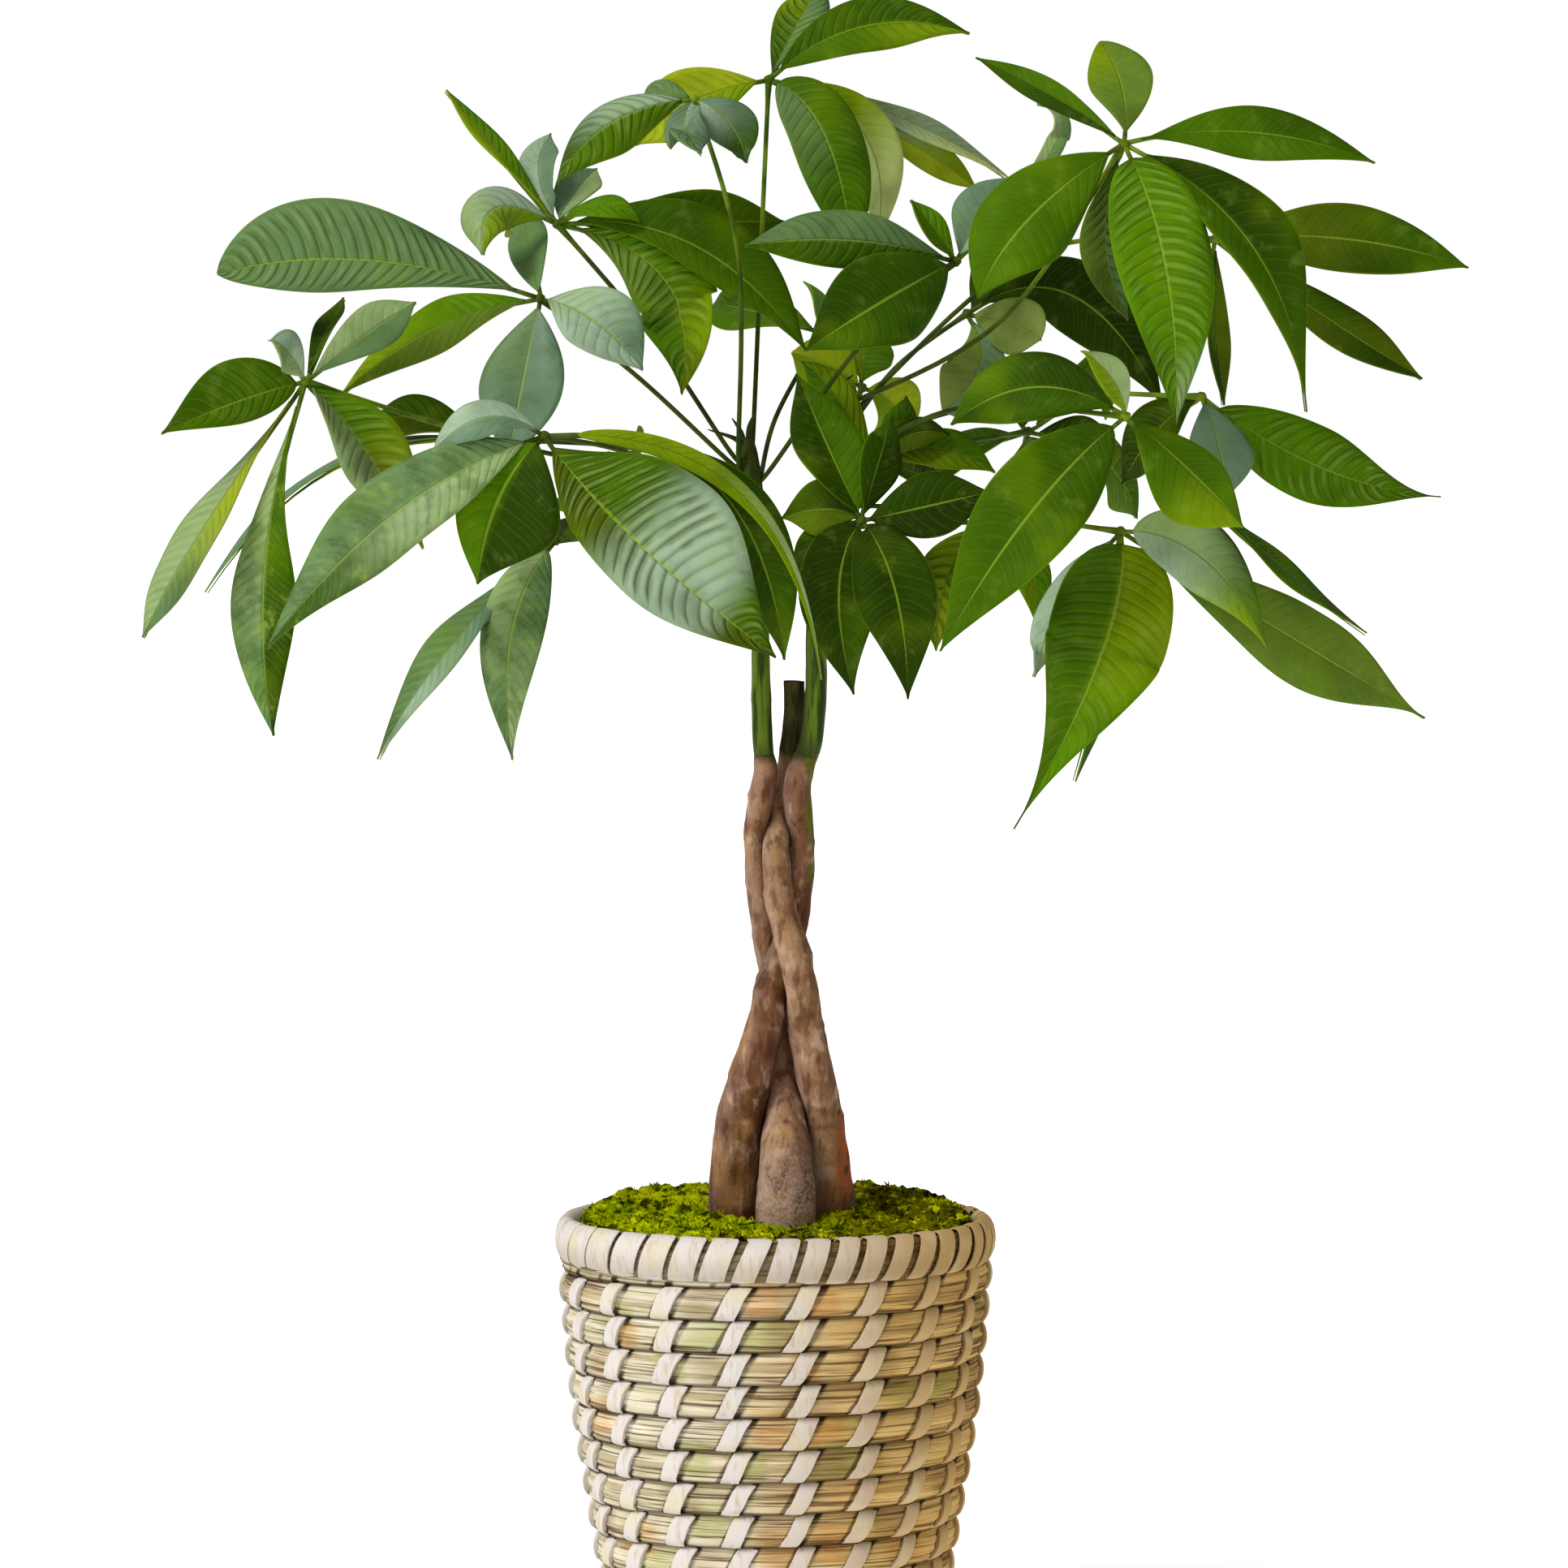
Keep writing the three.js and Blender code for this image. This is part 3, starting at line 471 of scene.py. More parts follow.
def wrap(angle, width, lean, lift):
    def lay(along, across):
        turn = math.radians(WRAP_START + along * WRAP_TURN)
        puff = lift + 0.25 * (1 - (2 * across - 1) ** 2)
        reach = RIM_MIDDLE + (ROLL_DEPTH + puff) * math.cos(turn)
        z = RIM_HEIGHT + (ROLL_HEIGHT + puff) * math.sin(turn)
        slide = (across - 0.5) * width + lean * math.sin(turn) * (1 if along < 0.5 else 0.7)
        return round_the_basket(angle + slide / RIM_MIDDLE, reach, z)
    piece = sheet("wrap", 18, 4, lay)
    modify(piece, "SOLIDIFY", thickness=WRAP * MM, offset=0)
    return piece


angle = math.pi / 2
while angle < math.pi / 2 + math.tau - 0.1:
    looser = max(0, -math.cos(angle))
    pitch = 13.5 + 4.2 * looser + chance.uniform(-0.5, 0.5)
    width = pitch - 3.9 + 2.9 * looser + chance.uniform(-0.4, 0.4)
    stitches.append(wrap(angle, width, chance.uniform(3.0, 4.4), chance.uniform(0.2, 0.6)))
    angle += pitch / RIM_MIDDLE

points = [round_the_basket(i / 128 * math.tau, RIM_MIDDLE, RIM_HEIGHT) for i in range(129)]
section = grass_section(4.1 * MM, 8.8 * MM)
roll = length_of("rim_roll", points, [1.0] * len(points), section=section)
bpy.data.objects.remove(section)
coil = join([coil, roll], "seagrass_wall")
binding = join(stitches, "palm_binding")
smooth(binding)

# %% Keep the strips' cut edges crisp
pick(binding)
bpy.ops.object.mode_set(mode="EDIT")
bpy.ops.mesh.select_all(action="DESELECT")
bpy.ops.mesh.select_mode(type="EDGE")
bpy.ops.mesh.edges_select_sharp(sharpness=math.radians(50))
bpy.ops.mesh.mark_sharp()
bpy.ops.object.mode_set(mode="OBJECT")
print("strips of palm:", len(stitches))


# %% [markdown]
# ## Dried grass and palm
# Both are plant fibre, so their colour runs in fine lines along the strand. The
# grass dries from a green cream to tan, with rusty patches, and new stalks are fed
# in as the coil goes round. So its tone changes along the coil, not row by row,
# and each point of the mesh keeps the tone of its place there.

# %% Tone along the coil
RUSTED = [
    (-5, 170, 13), (21, 170, 13), (-80, 112, 10), (-2, 112, 14), (24, 112, 12), (-62, 57, 12),
    (2, 57, 16), (25, 57, 12), (59, 57, 14), (-68, 150, 9), (14, 140, 9),
]
GREENED = [
    (4, 158, 8), (-38, 96, 14), (-10, 96, 10), (-72, 158, 12), (-48, 140, 12), (-60, 26, 18),
    (-30, 68, 14),
]


def spot(x, z, spots):
    """How near the closest patch is, each given by its place across, its height and width."""
    return max(bell(x - across, width) * (abs(z - up) < 8.5) for across, up, width in spots)


tones = coil.data.attributes.new("tone", "FLOAT_COLOR", "POINT")
for i, vertex in enumerate(coil.data.vertices):
    x, y, z = vertex.co / MM
    part = (math.atan2(y, x) - math.pi) % math.tau / math.tau
    row = (z - FIRST_ROW) / ROW + 0.5 - part
    run = (round(row) + part) * COLUMNS
    rust, green, dark = (
        0.5 + 0.9 * noise.noise(Vector((run * k, k * 9, 0))) for k in (0.61, 0.43, 0.9))
    if y < 0:
        rust = max(rust * 0.62, spot(x, z, RUSTED))
        green = max(green * 0.9, spot(x, z, GREENED))
    tones.data[i].color = (rust, green, dark, 1)

# %% Finish the basket
grass = Finish("seagrass", Roughness=0.85, Specular_IOR_Level=0.05)
strands = grass.noise((14, 14, 900), detail=4)
stalks = grass.noise((9, 9, 330), detail=1)
fine = grass.noise((45, 45, 2600), detail=3)
east, north, height = grass.object.parts()
rusty, greenish, darker = grass.attribute("tone").parts()
# Paler and cooler at the left, warmer and darker at the right: partly the grass's own colour,
# partly painted light from the window at the left and painted shade away from it.
side = east.between(-0.045, 0.05)
rust = stalks.between(0.4, 0.62).mix((174, 118, 50), side.mix((224, 184, 126), (204, 146, 70)))
ground = side.mix((208, 198, 166), (206, 167, 98)).coats(
    (stalks, 0.5, 0.66, 0.65, side.mix((236, 228, 206), (224, 188, 120))),
    (stalks, 0.5, 0.36, 0.6, side.mix((156, 138, 96), (134, 102, 54))),
    (greenish, 0.55, 0.85, 0.65, side.mix((172, 176, 110), (138, 132, 56))),
    (rusty, 0.45, 0.9, fine.between(0.35, 0.6) * 0.5 + 0.35, rust),
    (darker, 0.55, 0.85, 0.45, (132, 102, 62)),
    (strands, 0.5, 0.37, 0.85, (74, 48, 20)),
    (fine, 0.54, 0.7, 0.4, side.mix((240, 234, 214), (212, 180, 126))),
)

# %% Painted shadow where the grass dips under a stitch, between two rows and between the rim's wraps
angle = north.math("ARCTAN2", east)
around = ((angle - math.pi) / math.tau).math("FRACT")
row = ((height * 1000 - FIRST_ROW) / ROW + 1 - around).math("FRACT")
column = ((angle - FIRST_COLUMN) / math.tau * COLUMNS + 0.5).math("FRACT") - 0.5
past = column * 31 - (row - 0.5) * (east * 15 + LEAN)
rim = height.between(0.177, 0.179)
wall = 1 - rim
edge = (row - 0.5).math("ABSOLUTE")
notch = past.between(2.4, 3.8) * past.between(8.2, 5.9) * (edge.between(0.1, 0.4) * 0.6 + 0.4)
nook = past.between(-6.6, -5.4) * past.between(-2.8, -3.8) * 0.7
ground = ground.coats((edge, 0.38, 0.49, wall * 0.75, (50, 32, 12)))
ground = (notch.math("MAXIMUM", nook) * wall * 0.96).mix(ground, (24, 14, 6))
# The rim roll's grass, seen in the gaps between the wraps, is painted dark as shade.
ground = (rim * 0.8).mix(ground, side.mix((84, 70, 44), (66, 44, 18)))
grass.set("Base Color", ground)
grass.bump(strands * 0.5 + stalks * 0.4 + fine * 0.2, 0.0018)
dress(coil, grass)

# %% Finish the palm
palm = Finish("palm_strip", Roughness=0.78, Specular_IOR_Level=0.05)
east, _, height = palm.object.parts()
# Whiter at the left, tan at the right: partly the palm's own colour, partly painted light from
# the window at the left and painted shade away from it.
side = east.between(-0.02, 0.085)
fibre = palm.noise((420, 420, 60), detail=3)
tint = palm.noise(55.0, detail=1)
cream = side.mix((206, 198, 192), (184, 150, 96)).coats(
    (fibre, 0.5, 0.7, 0.55, (176, 154, 112)),
    (tint, 0.5, 0.72, 0.5, (206, 194, 150)),
)
# A band low on the rim roll is painted darker on the wraps, as painted shade where the roll turns
# under.
foot = height.between(0.193, 0.182) * height.between(0.178, 0.18)
cream = (foot * 0.36).mix(cream, side.mix((140, 124, 92), (112, 84, 44)))
palm.set("Base Color", cream)
palm.bump(fibre, 0.0006, 0.6)
dress(binding, palm)
stand_for(coil, "basket_coil", "seagrass")
stand_for(binding, "basket_binding", "palm_strip")


# %% [markdown]
# ## Moss
# Sheet moss lies in soft lumps with dark pits between them, and sprigs break its
# edge. The bed is a round sheet that dips at the rim and closes below, pushed up
# and down by three sizes of noise, with small sprigs set on it.

# %% Model the moss
MOSS_TOP = 195.0
TOP_FACE = 0.84
MOSS_REACH = 90.2
MOUNDS = [
    (-26, -10, 9, 3.6), (33, -6, 10, 3.0), (4, -30, 11, -1.6), (-60, -30, 22, 1.2),
    (62, -20, 20, 1.4),
]


def moss_height(x, y):
    rise = 8.2 * ease((y + 25) / 105)
    mounds = sum(h * bell(math.hypot(x - a, y - b), r) for a, b, r, h in MOUNDS)
    lumps = noise.noise(Vector((x, y, 0)) * 0.1) * 2.2
    tufts = abs(noise.noise(Vector((x, y, 5)) * 0.24)) * 3.6
    grain = noise.noise(Vector((x, y, 9)) * 0.8) * 0.9
    return MOSS_TOP + rise + mounds + lumps + tufts + grain


def moss_lay(along, across):
    angle = along * math.tau
    if across <= TOP_FACE:
        reach = across / TOP_FACE * MOSS_REACH
    elif across < 0.95:
        reach = MOSS_REACH + 0.2
    else:
        reach = (1 - across) / 0.05 * 89
    x, y = reach * math.cos(angle), reach * math.sin(angle)
    z = moss_height(x, y)
    if across > TOP_FACE:
        z = max(177, z - (across - TOP_FACE) * 250)
    return Vector((x, y, z)) * MM


moss_bed = sheet("moss", 240, 96, moss_lay)
close_up(moss_bed)
smooth(moss_bed)

# %% Set sprigs on the moss
let_go()
bpy.ops.mesh.primitive_cone_add(vertices=4, radius1=0.6 * MM, radius2=0, depth=4.2 * MM)
sprig = bpy.context.object
sprigs = [moss_bed]
for i in range(1000):
    reach = 88.5 * math.sqrt(chance.random())
    angle = chance.uniform(0, math.tau)
    x, y = reach * math.cos(angle), reach * math.sin(angle)
    copy = sprig.copy()
    copy.data = sprig.data.copy()
    bpy.context.scene.collection.objects.link(copy)
    lean = Vector((chance.uniform(-0.8, 0.8), chance.uniform(-0.8, 0.8), 1)).normalized()
    turn = Vector((0, 0, 1)).rotation_difference(lean).to_matrix().to_4x4()
    size = chance.uniform(0.6, 1.2)
    foot = Vector((x, y, moss_height(x, y) + 0.9)) * MM
    for vertex in copy.data.vertices:
        vertex.co = turn @ (vertex.co * size) + foot
    sprigs.append(copy)
bpy.data.objects.remove(sprig)
moss_bed = join(sprigs, "moss_bed")

# %% Finish the moss
moss = Finish("moss", Roughness=0.95, Specular_IOR_Level=0.0)
lumps = moss.noise(112.0, detail=3, roughness=0.6)
tufts = moss.noise(420.0, detail=3, roughness=0.6)
wide = moss.noise(36.0, detail=2)
east, north, _ = moss.object.parts()
reach = (east * east + north * north) ** 0.5
green = wide.between(0.36, 0.62).mix((172, 180, 4), (126, 146, 2))
brown = (east - 0.004).math("ABSOLUTE").between(0.05, 0.02) * north.between(-0.04, -0.07)
# Painted light and shade: the bed is darker toward the right, away from the window, the low
# places of the lumps and tufts are painted dark as the shade in the pits, their high places light
# as painted highlights, and a painted shadow runs round the rim where the bed dips under it.
green = green.coats(
    (east, -0.02, 0.06, 0.85, (84, 74, 4)),
    (wide, 0.3, 0.6, brown * 0.7, (112, 84, 14)),
    (lumps, 0.49, 0.39, 0.9, (16, 24, 0)),
    (lumps, 0.54, 0.66, 0.85, (206, 210, 20)),
    (tufts, 0.48, 0.36, 0.65, (32, 38, 0)),
    (reach, 0.0845, 0.0895, lumps.between(0.6, 0.42) * 0.9, (12, 14, 0)),
)
moss.set("Base Color", green)
moss.bump(lumps * 0.8 + tufts * 0.3, 0.004)
dress(moss_bed, moss)
stand_for(moss_bed, "moss", "moss")


# %% [markdown]
# ## Plaited trunks and green shoots
# Three young trunks are plaited while soft. Each is a round length whose middle
# line weaves and whose radius shrinks upwards. A row is height, across, toward and
# radius. Above the plait the wood is green and carries the leaves.

# %% The courses of trunks and shoots
TRUNKS = {
    "trunk_left": [
        (120, -22, -4, 11), (196, -19.4, -4, 11.4), (218, -18.5, -3, 11.4), (241, -16.3, 0, 10.7),
        (256, -13.3, 3, 9.8), (270, -9.4, 4.5, 9.1), (290, -4, 5, 8), (300, -2.3, 1, 7.7),
        (308, 0, -3, 7.8), (322, 5.5, -5, 7.2), (335, 8, -8, 6.8), (346, 9.8, -7.5, 6.7),
        (357, 10.6, -5, 6.5), (368, 11.3, -3, 6.2), (377, 11.5, 0, 5.8), (386, 10.6, 4, 6),
        (395, 10, 5, 6), (404, 11.9, 5, 5.8), (411, 14.3, 5, 4.6),
    ],
    "trunk_front": [
        (120, 6, 10, 12), (190, 4.6, 13, 13.2), (207, 4.9, 13, 13), (219, 4.6, 11, 12),
        (230, 4.6, 9, 11.3), (245, 4.3, 1, 8.9), (256, 3.8, -6.5, 7.8), (270, 3, -12.5, 7.5),
        (290, 1, -14.5, 7.3), (308, -0.5, -17.8, 6.7), (322, -3.5, -15, 6.2), (335, -5, -12, 6),
        (346, -6.8, -9, 6), (357, -7.6, -7, 6), (368, -8.2, -5, 5.8), (377, -8.9, -1, 5.3),
        (386, -7.6, 3, 5.2), (395, -5.7, 4, 5.3), (404, -4.5, 4, 4.8), (411, -5.2, 4, 4),
    ],
    "trunk_right": [
        (120, 28, -10, 10), (196, 26.4, -9, 10.4), (215, 24.6, -8, 10.1), (237, 22.7, -6, 9),
        (247, 21.6, -3.6, 8.6), (256, 19.8, 0, 8.4), (270, 16.9, 2, 8.4), (290, 13.6, 4, 7.7),
        (300, 12.6, 7.6, 7.2), (308, 11.3, 9.7, 7.1), (322, 8.1, 9, 7), (335, 4.4, 7.5, 6.4),
        (346, 1.8, 5.7, 6.2), (357, 0.5, 5.5, 6.1), (368, 0.3, 5, 5.8), (377, 1.4, 0.5, 4.9),
        (386, 2.2, -5, 4.9), (395, 3.4, -7.2, 4.9), (409, 6.6, -7, 4.7), (427, 8.4, -5, 4.5),
        (445, 8.8, -4.4, 4.4),
    ],
}
SHOOTS = {
    "shoot_left": [
        (404, -4.5, 4, 4.2), (411, -5.2, 4, 4.6), (420, -5.9, 4, 4.7), (440, -6.5, 4, 4.5),
        (480, -7, 3, 4), (516, -7.6, 2, 4.2), (534, -10.5, 1, 4.8), (549, -12.5, 0, 4.6),
        (557, -13, 0, 2.6),
    ],
    "shoot_right": [
        (404, 11.9, 5, 4.9), (411, 14.3, 5, 5.3), (420, 16.8, 5, 5.3), (443, 18.8, 4, 5),
        (473, 18.8, 2, 4.6), (520, 21.5, -2, 4.3), (548, 24.4, -5, 4.4), (568, 26.4, -7, 4.2),
        (577, 27, -8, 2.4),
    ],
}
KNOTS = {
    "trunk_left": (232, 262, 301, 333, 371),
    "trunk_front": (214, 248, 276, 327, 352, 392),
    "trunk_right": (206, 243, 286, 318, 349, 414),
    "shoot_left": (438, 489, 512, 528, 541),
    "shoot_right": (448, 482, 515, 536, 558),
}


# %% Model trunks and shoots
def stem(name, rows):
    run = even_out(rows, 8)
    points = [Vector((across, -toward, z)) * MM for z, across, toward, r in run]
    radii = []
    for z, across, toward, r in run:
        knot = sum(bell(z - k, 1.6) for k in KNOTS[name])
        uneven = 0.3 * noise.noise(Vector((across, 0, z * 0.1)))
        bulk = uneven * 0.5 if name in SHOOTS else uneven + 0.5
        radii.append((r + 0.4 * knot + bulk) * MM)
    piece = length_of(name + "_look", points, radii, sides=24)
    if name in TRUNKS:
        for vertex in piece.data.vertices:
            vertex.co += vertex.normal * noise.noise(vertex.co * 90) * 0.7 * MM
    return piece


stems = {name: stem(name, rows) for name, rows in {**TRUNKS, **SHOOTS}.items()}

# %% Buds on the shoots' tips
BUDS = {
    "shoot_left": [
        ((-14, 0, 553), (-19, 4, 557), (-31, 8, 561)),
        ((-12, 0, 553), (-12, 1, 562), (-9, 2, 569)),
        ((-14, -2, 552), (-16, -5, 560), (-20, -9, 566)),
    ],
    "shoot_right": [
        ((27, -8, 573), (30, -6, 581), (36, -4, 586)),
        ((26, -8, 573), (25, -10, 582), (21, -13, 588)),
    ],
}
bud_radii = [(1.7 - 1.5 * (k / 12) ** 1.4) * MM for k in range(13)]
for name, buds in BUDS.items():
    scales = []
    for rows in buds:
        run = [Vector((across, -toward, z)) * MM for across, toward, z in even_out(rows, 6)]
        scales.append(length_of("bud", run, bud_radii, sides=12))
    stems[name] = join([stems[name], *scales], name + "_look")

# %% Tone of the bark, with painted light on the side toward the window, painted shade on the side away from it and where two trunks touch
BARK_TONES = {
    "trunk_left": sRGB(112, 72, 42),
    "trunk_front": sRGB(148, 110, 78),
    "trunk_right": sRGB(156, 118, 78),
}
WINDOW_LIT_BARK = sRGB(196, 176, 166)


def gap_to(rows, point):
    """How far a point is outside another trunk, at its own height."""
    z = point.z / MM
    for (z0, a0, t0, r0), (z1, a1, t1, r1) in zip(rows, rows[1:]):
        if z0 <= z <= z1:
            s = (z - z0) / (z1 - z0)
            off = (point.x / MM - a0 - (a1 - a0) * s, point.y / MM + t0 + (t1 - t0) * s)
            return math.hypot(*off) - r0 - (r1 - r0) * s
    return math.inf


for name in TRUNKS:
    tones = stems[name].data.attributes.new("tone", "FLOAT_COLOR", "POINT")
    others = [rows for other, rows in TRUNKS.items() if other != name]
    for vertex, entry in zip(stems[name].data.vertices, tones.data):
        near = min(gap_to(rows, vertex.co) for rows in others)
        # Faces turned to the right get painted shade, faces turned to the left painted light; the
        # alpha keeps painted shade for the creases, stronger where another trunk is close.
        aside = vertex.normal.x
        dark, pale = 0.62 * max(aside, 0), 0.3 * max(-aside, 0)
        tone = [c * (1 - dark) + (p - c) * pale for c, p in zip(BARK_TONES[name], WINDOW_LIT_BARK)]
        entry.color = (*tone[:3], math.exp(-max(near, 0) / 3.2))

# %% Finish the bark
bark = Finish("bark", Roughness=0.82, Specular_IOR_Level=0.08)
grain = bark.noise((230, 230, 60), detail=5, roughness=0.6)
blotch = bark.noise(85.0, detail=3)
tints = bark.noise((50, 50, 28), detail=2)
speckle = bark.noise(620.0, detail=2)
east, _, height = bark.object.parts()
wood = bark.attribute("tone").coats(
    (tints, 0.5, 0.36, 0.4, (146, 102, 84)),
    (tints, 0.52, 0.66, 0.6, (178, 132, 80)),
    (blotch, 0.5, 0.34, 0.5, (96, 54, 32)),
    (blotch, 0.54, 0.72, 0.5, (208, 176, 146)),
    (grain, 0.5, 0.36, 0.6, (64, 36, 20)),
    (grain, 0.56, 0.72, 0.4, (214, 188, 160)),
)
middle = 1 - (east - 0.005).math("ABSOLUTE").between(0.012, 0.018)
pale_foot = height.between(0.245, 0.205) * middle
wood = (pale_foot * (speckle.between(0.42, 0.62) * 0.5 + 0.1)).mix(wood, (186, 166, 150))
wood = wood.coats((height, 0.24, 0.2, (1 - pale_foot * 0.8) * 0.55, (78, 40, 20)))

# %% Rust at the foot, green above the plait, lichen and painted shade in the creases
ember = ((east - 0.029) * 120 + (grain - 0.5) * 2.4).between(-0.4, 0.5)
ember = ember * height.between(0.203, 0.216) * height.between(0.252, 0.234)
greening = ((height - 0.4095) * 150 + (grain - 0.5) * 1.6).between(-0.5, 0.5)
lichen = ((east - 0.0143) * 420 + (grain - 0.5) * 2.0).between(-0.4, 0.5)
lichen = lichen * height.between(0.345, 0.362)
crease_shade = bark.attribute("tone", "Alpha")
wood = wood.coats((blotch, 0.36, 0.5, ember * 0.8, (172, 84, 34)))
wood = (greening * 0.95).mix(wood, grain.between(0.4, 0.6).mix((20, 24, 2), (46, 50, 8)))
wood = wood.coats(
    (tints, 0.3, 0.5, lichen * 0.7, (84, 102, 26)),
    (crease_shade, 0.15, 0.7, 0.5, (84, 46, 26)),
    (crease_shade, 0.52, 0.88, 0.92, (34, 16, 8)),
)
bark.set("Base Color", wood)
bark.bump(grain * 0.7 + speckle * 0.3, 0.0014, 0.9)

# %% Finish the green wood
twig = Finish("green_stem", Roughness=0.5, Specular_IOR_Level=0.12)
streak = twig.noise((300, 300, 30), detail=3)
east, _, height = twig.object.parts()
skin = streak.between(0.4, 0.62).mix((38, 54, 4), (86, 108, 20)).coats(
    (height, 0.44, 0.53, 0.6, (40, 52, 6)),
    (height, 0.528, 0.56, streak.between(0.35, 0.6) * 0.6, (58, 44, 16)),
    (height, 0.422, 0.409, streak.between(0.3, 0.6) * 0.6, (46, 44, 10)),
)
# The right shoot's left flank, toward the trunks, is painted dark as shade.
shoot_shade = east.between(0.0185, 0.0125) * east.between(0.004, 0.008)
skin = skin.coats((height, 0.48, 0.45, shoot_shade * 0.75, (22, 32, 3)))
twig.set("Base Color", skin)
twig.bump(streak, 0.0005, 0.5)

for name, piece in stems.items():
    finish, slot = (bark, "bark") if name in TRUNKS else (twig, "green_stem")
    dress(piece, finish)
    stand_for(piece, name, slot)


# %% [markdown]
# ## Leaflets
# A leaflet is a thin blade, drawn out to a point and folded a little along its
# midrib, with waved margins. Its flat grid is laid along the midrib's own curve: a
# curve modifier would lose the fold and the turn, which differ for each leaflet.

# %% The curve and the face of a blade
TAKE_OFF = 0.07


def half_width(t, widest, foot, point):
    """Half the blade's width at t, as a share of the widest place."""
    u = min(max((t - TAKE_OFF) / (1 - TAKE_OFF), 0), 1)
    s = max(math.sin(math.pi * u ** (math.log(0.5) / math.log(widest))), 0)
    return s ** foot if u < widest else s ** point


def on_curve(a, b, c, t):
    return a * (1 - t) ** 2 + b * (2 * t * (1 - t)) + c * t ** 2


def blade_frame(at, along, turn, outward):
    """The face's and the side's direction: turned up toward the eye, then by turn."""
    eye = (Vector((AIM_ACROSS, -EYE_DISTANCE, EYE_HEIGHT)) * MM - at).normalized()
    facing = eye - along * eye.dot(along)
    if facing.length < 0.3:
        facing += Vector((0, 0, 1)) - along * along.z
    facing.normalize()
    up = along.cross(facing)
    if up.z + up.x * outward * 0.35 < 0:
        up.negate()
    angle = math.radians(turn)
    face = (facing * math.cos(angle) + up * math.sin(angle)).normalized()
    return face, along.cross(face).normalized()


# %% [markdown]
# ## Words for a blade
# The first two words are the tones of a leaflet's halves, and two more are those
# that they turn to near the tip. One alone is used for all. Then come marks: how
# ribbed, mottled and glossy the face is, which half is wider, how foot and tip are
# drawn, how deep the fold is, and where along the blade the tones turn.

# %% Tones and marks
# Some tones are the leaflets' own greens; others are painted light: silver, blue, grey and pale a
# painted reflection of the white sky, gold and milk partly painted light shining through the
# blade, dark and black painted shade deep in the crown. Two halves of a leaflet often differ by
# painted light and shade, and the band of the sheened mark is a painted reflection.
TONES = {name: sRGB(*colour) for name, colour in dict(
    black=(26, 42, 0), dark=(36, 58, 0), deep=(50, 80, 0), mid=(63, 96, 1),
    bright=(76, 118, 0), lime=(110, 136, 2), gold=(148, 162, 22), olive=(70, 88, 4),
    khaki=(112, 128, 60), sage=(92, 118, 36), grey=(92, 121, 72), pale=(136, 158, 102),
    milk=(212, 224, 138), blue=(98, 126, 96), silver=(146, 168, 138),
).items()}
MARKS = dict(
    plain=dict(ribs=0.12), ribbed=dict(ribs=1.0), furrowed=dict(ribs=1.6),
    mottled=dict(mottle=1.0), glossy=dict(gloss=1.0), folded=dict(fold=0.62),
    upper=dict(lean=0.3), lower=dict(lean=-0.3), droopy=dict(droop=0.5),
    drawn=dict(point=1.9), blunt=dict(point=0.72), slim=dict(foot=1.35), broad=dict(foot=0.62),
    late=dict(turns=0.7, spread=0.3), sheened=dict(turns=0.34, spread=0.24, back=0.86),
)


def read_words(text):
    words = text.split()
    tones = [TONES[word] for word in words if word in TONES]
    marks = dict(ribs=0.4, mottle=0.25, gloss=0.2, lean=0.0, point=1.15, foot=0.8, fold=0.32,
                 droop=0.0, turns=0.3, spread=0.54, back=2.0)
    for word in words:
        marks.update(MARKS.get(word, {}))
    return (tones * 4)[:4], marks


# %% One leaflet, with its rib below
BLADE_COLUMNS = 14
BLADE_THICKNESS = 0.75
VEIN_GAP = 6.6


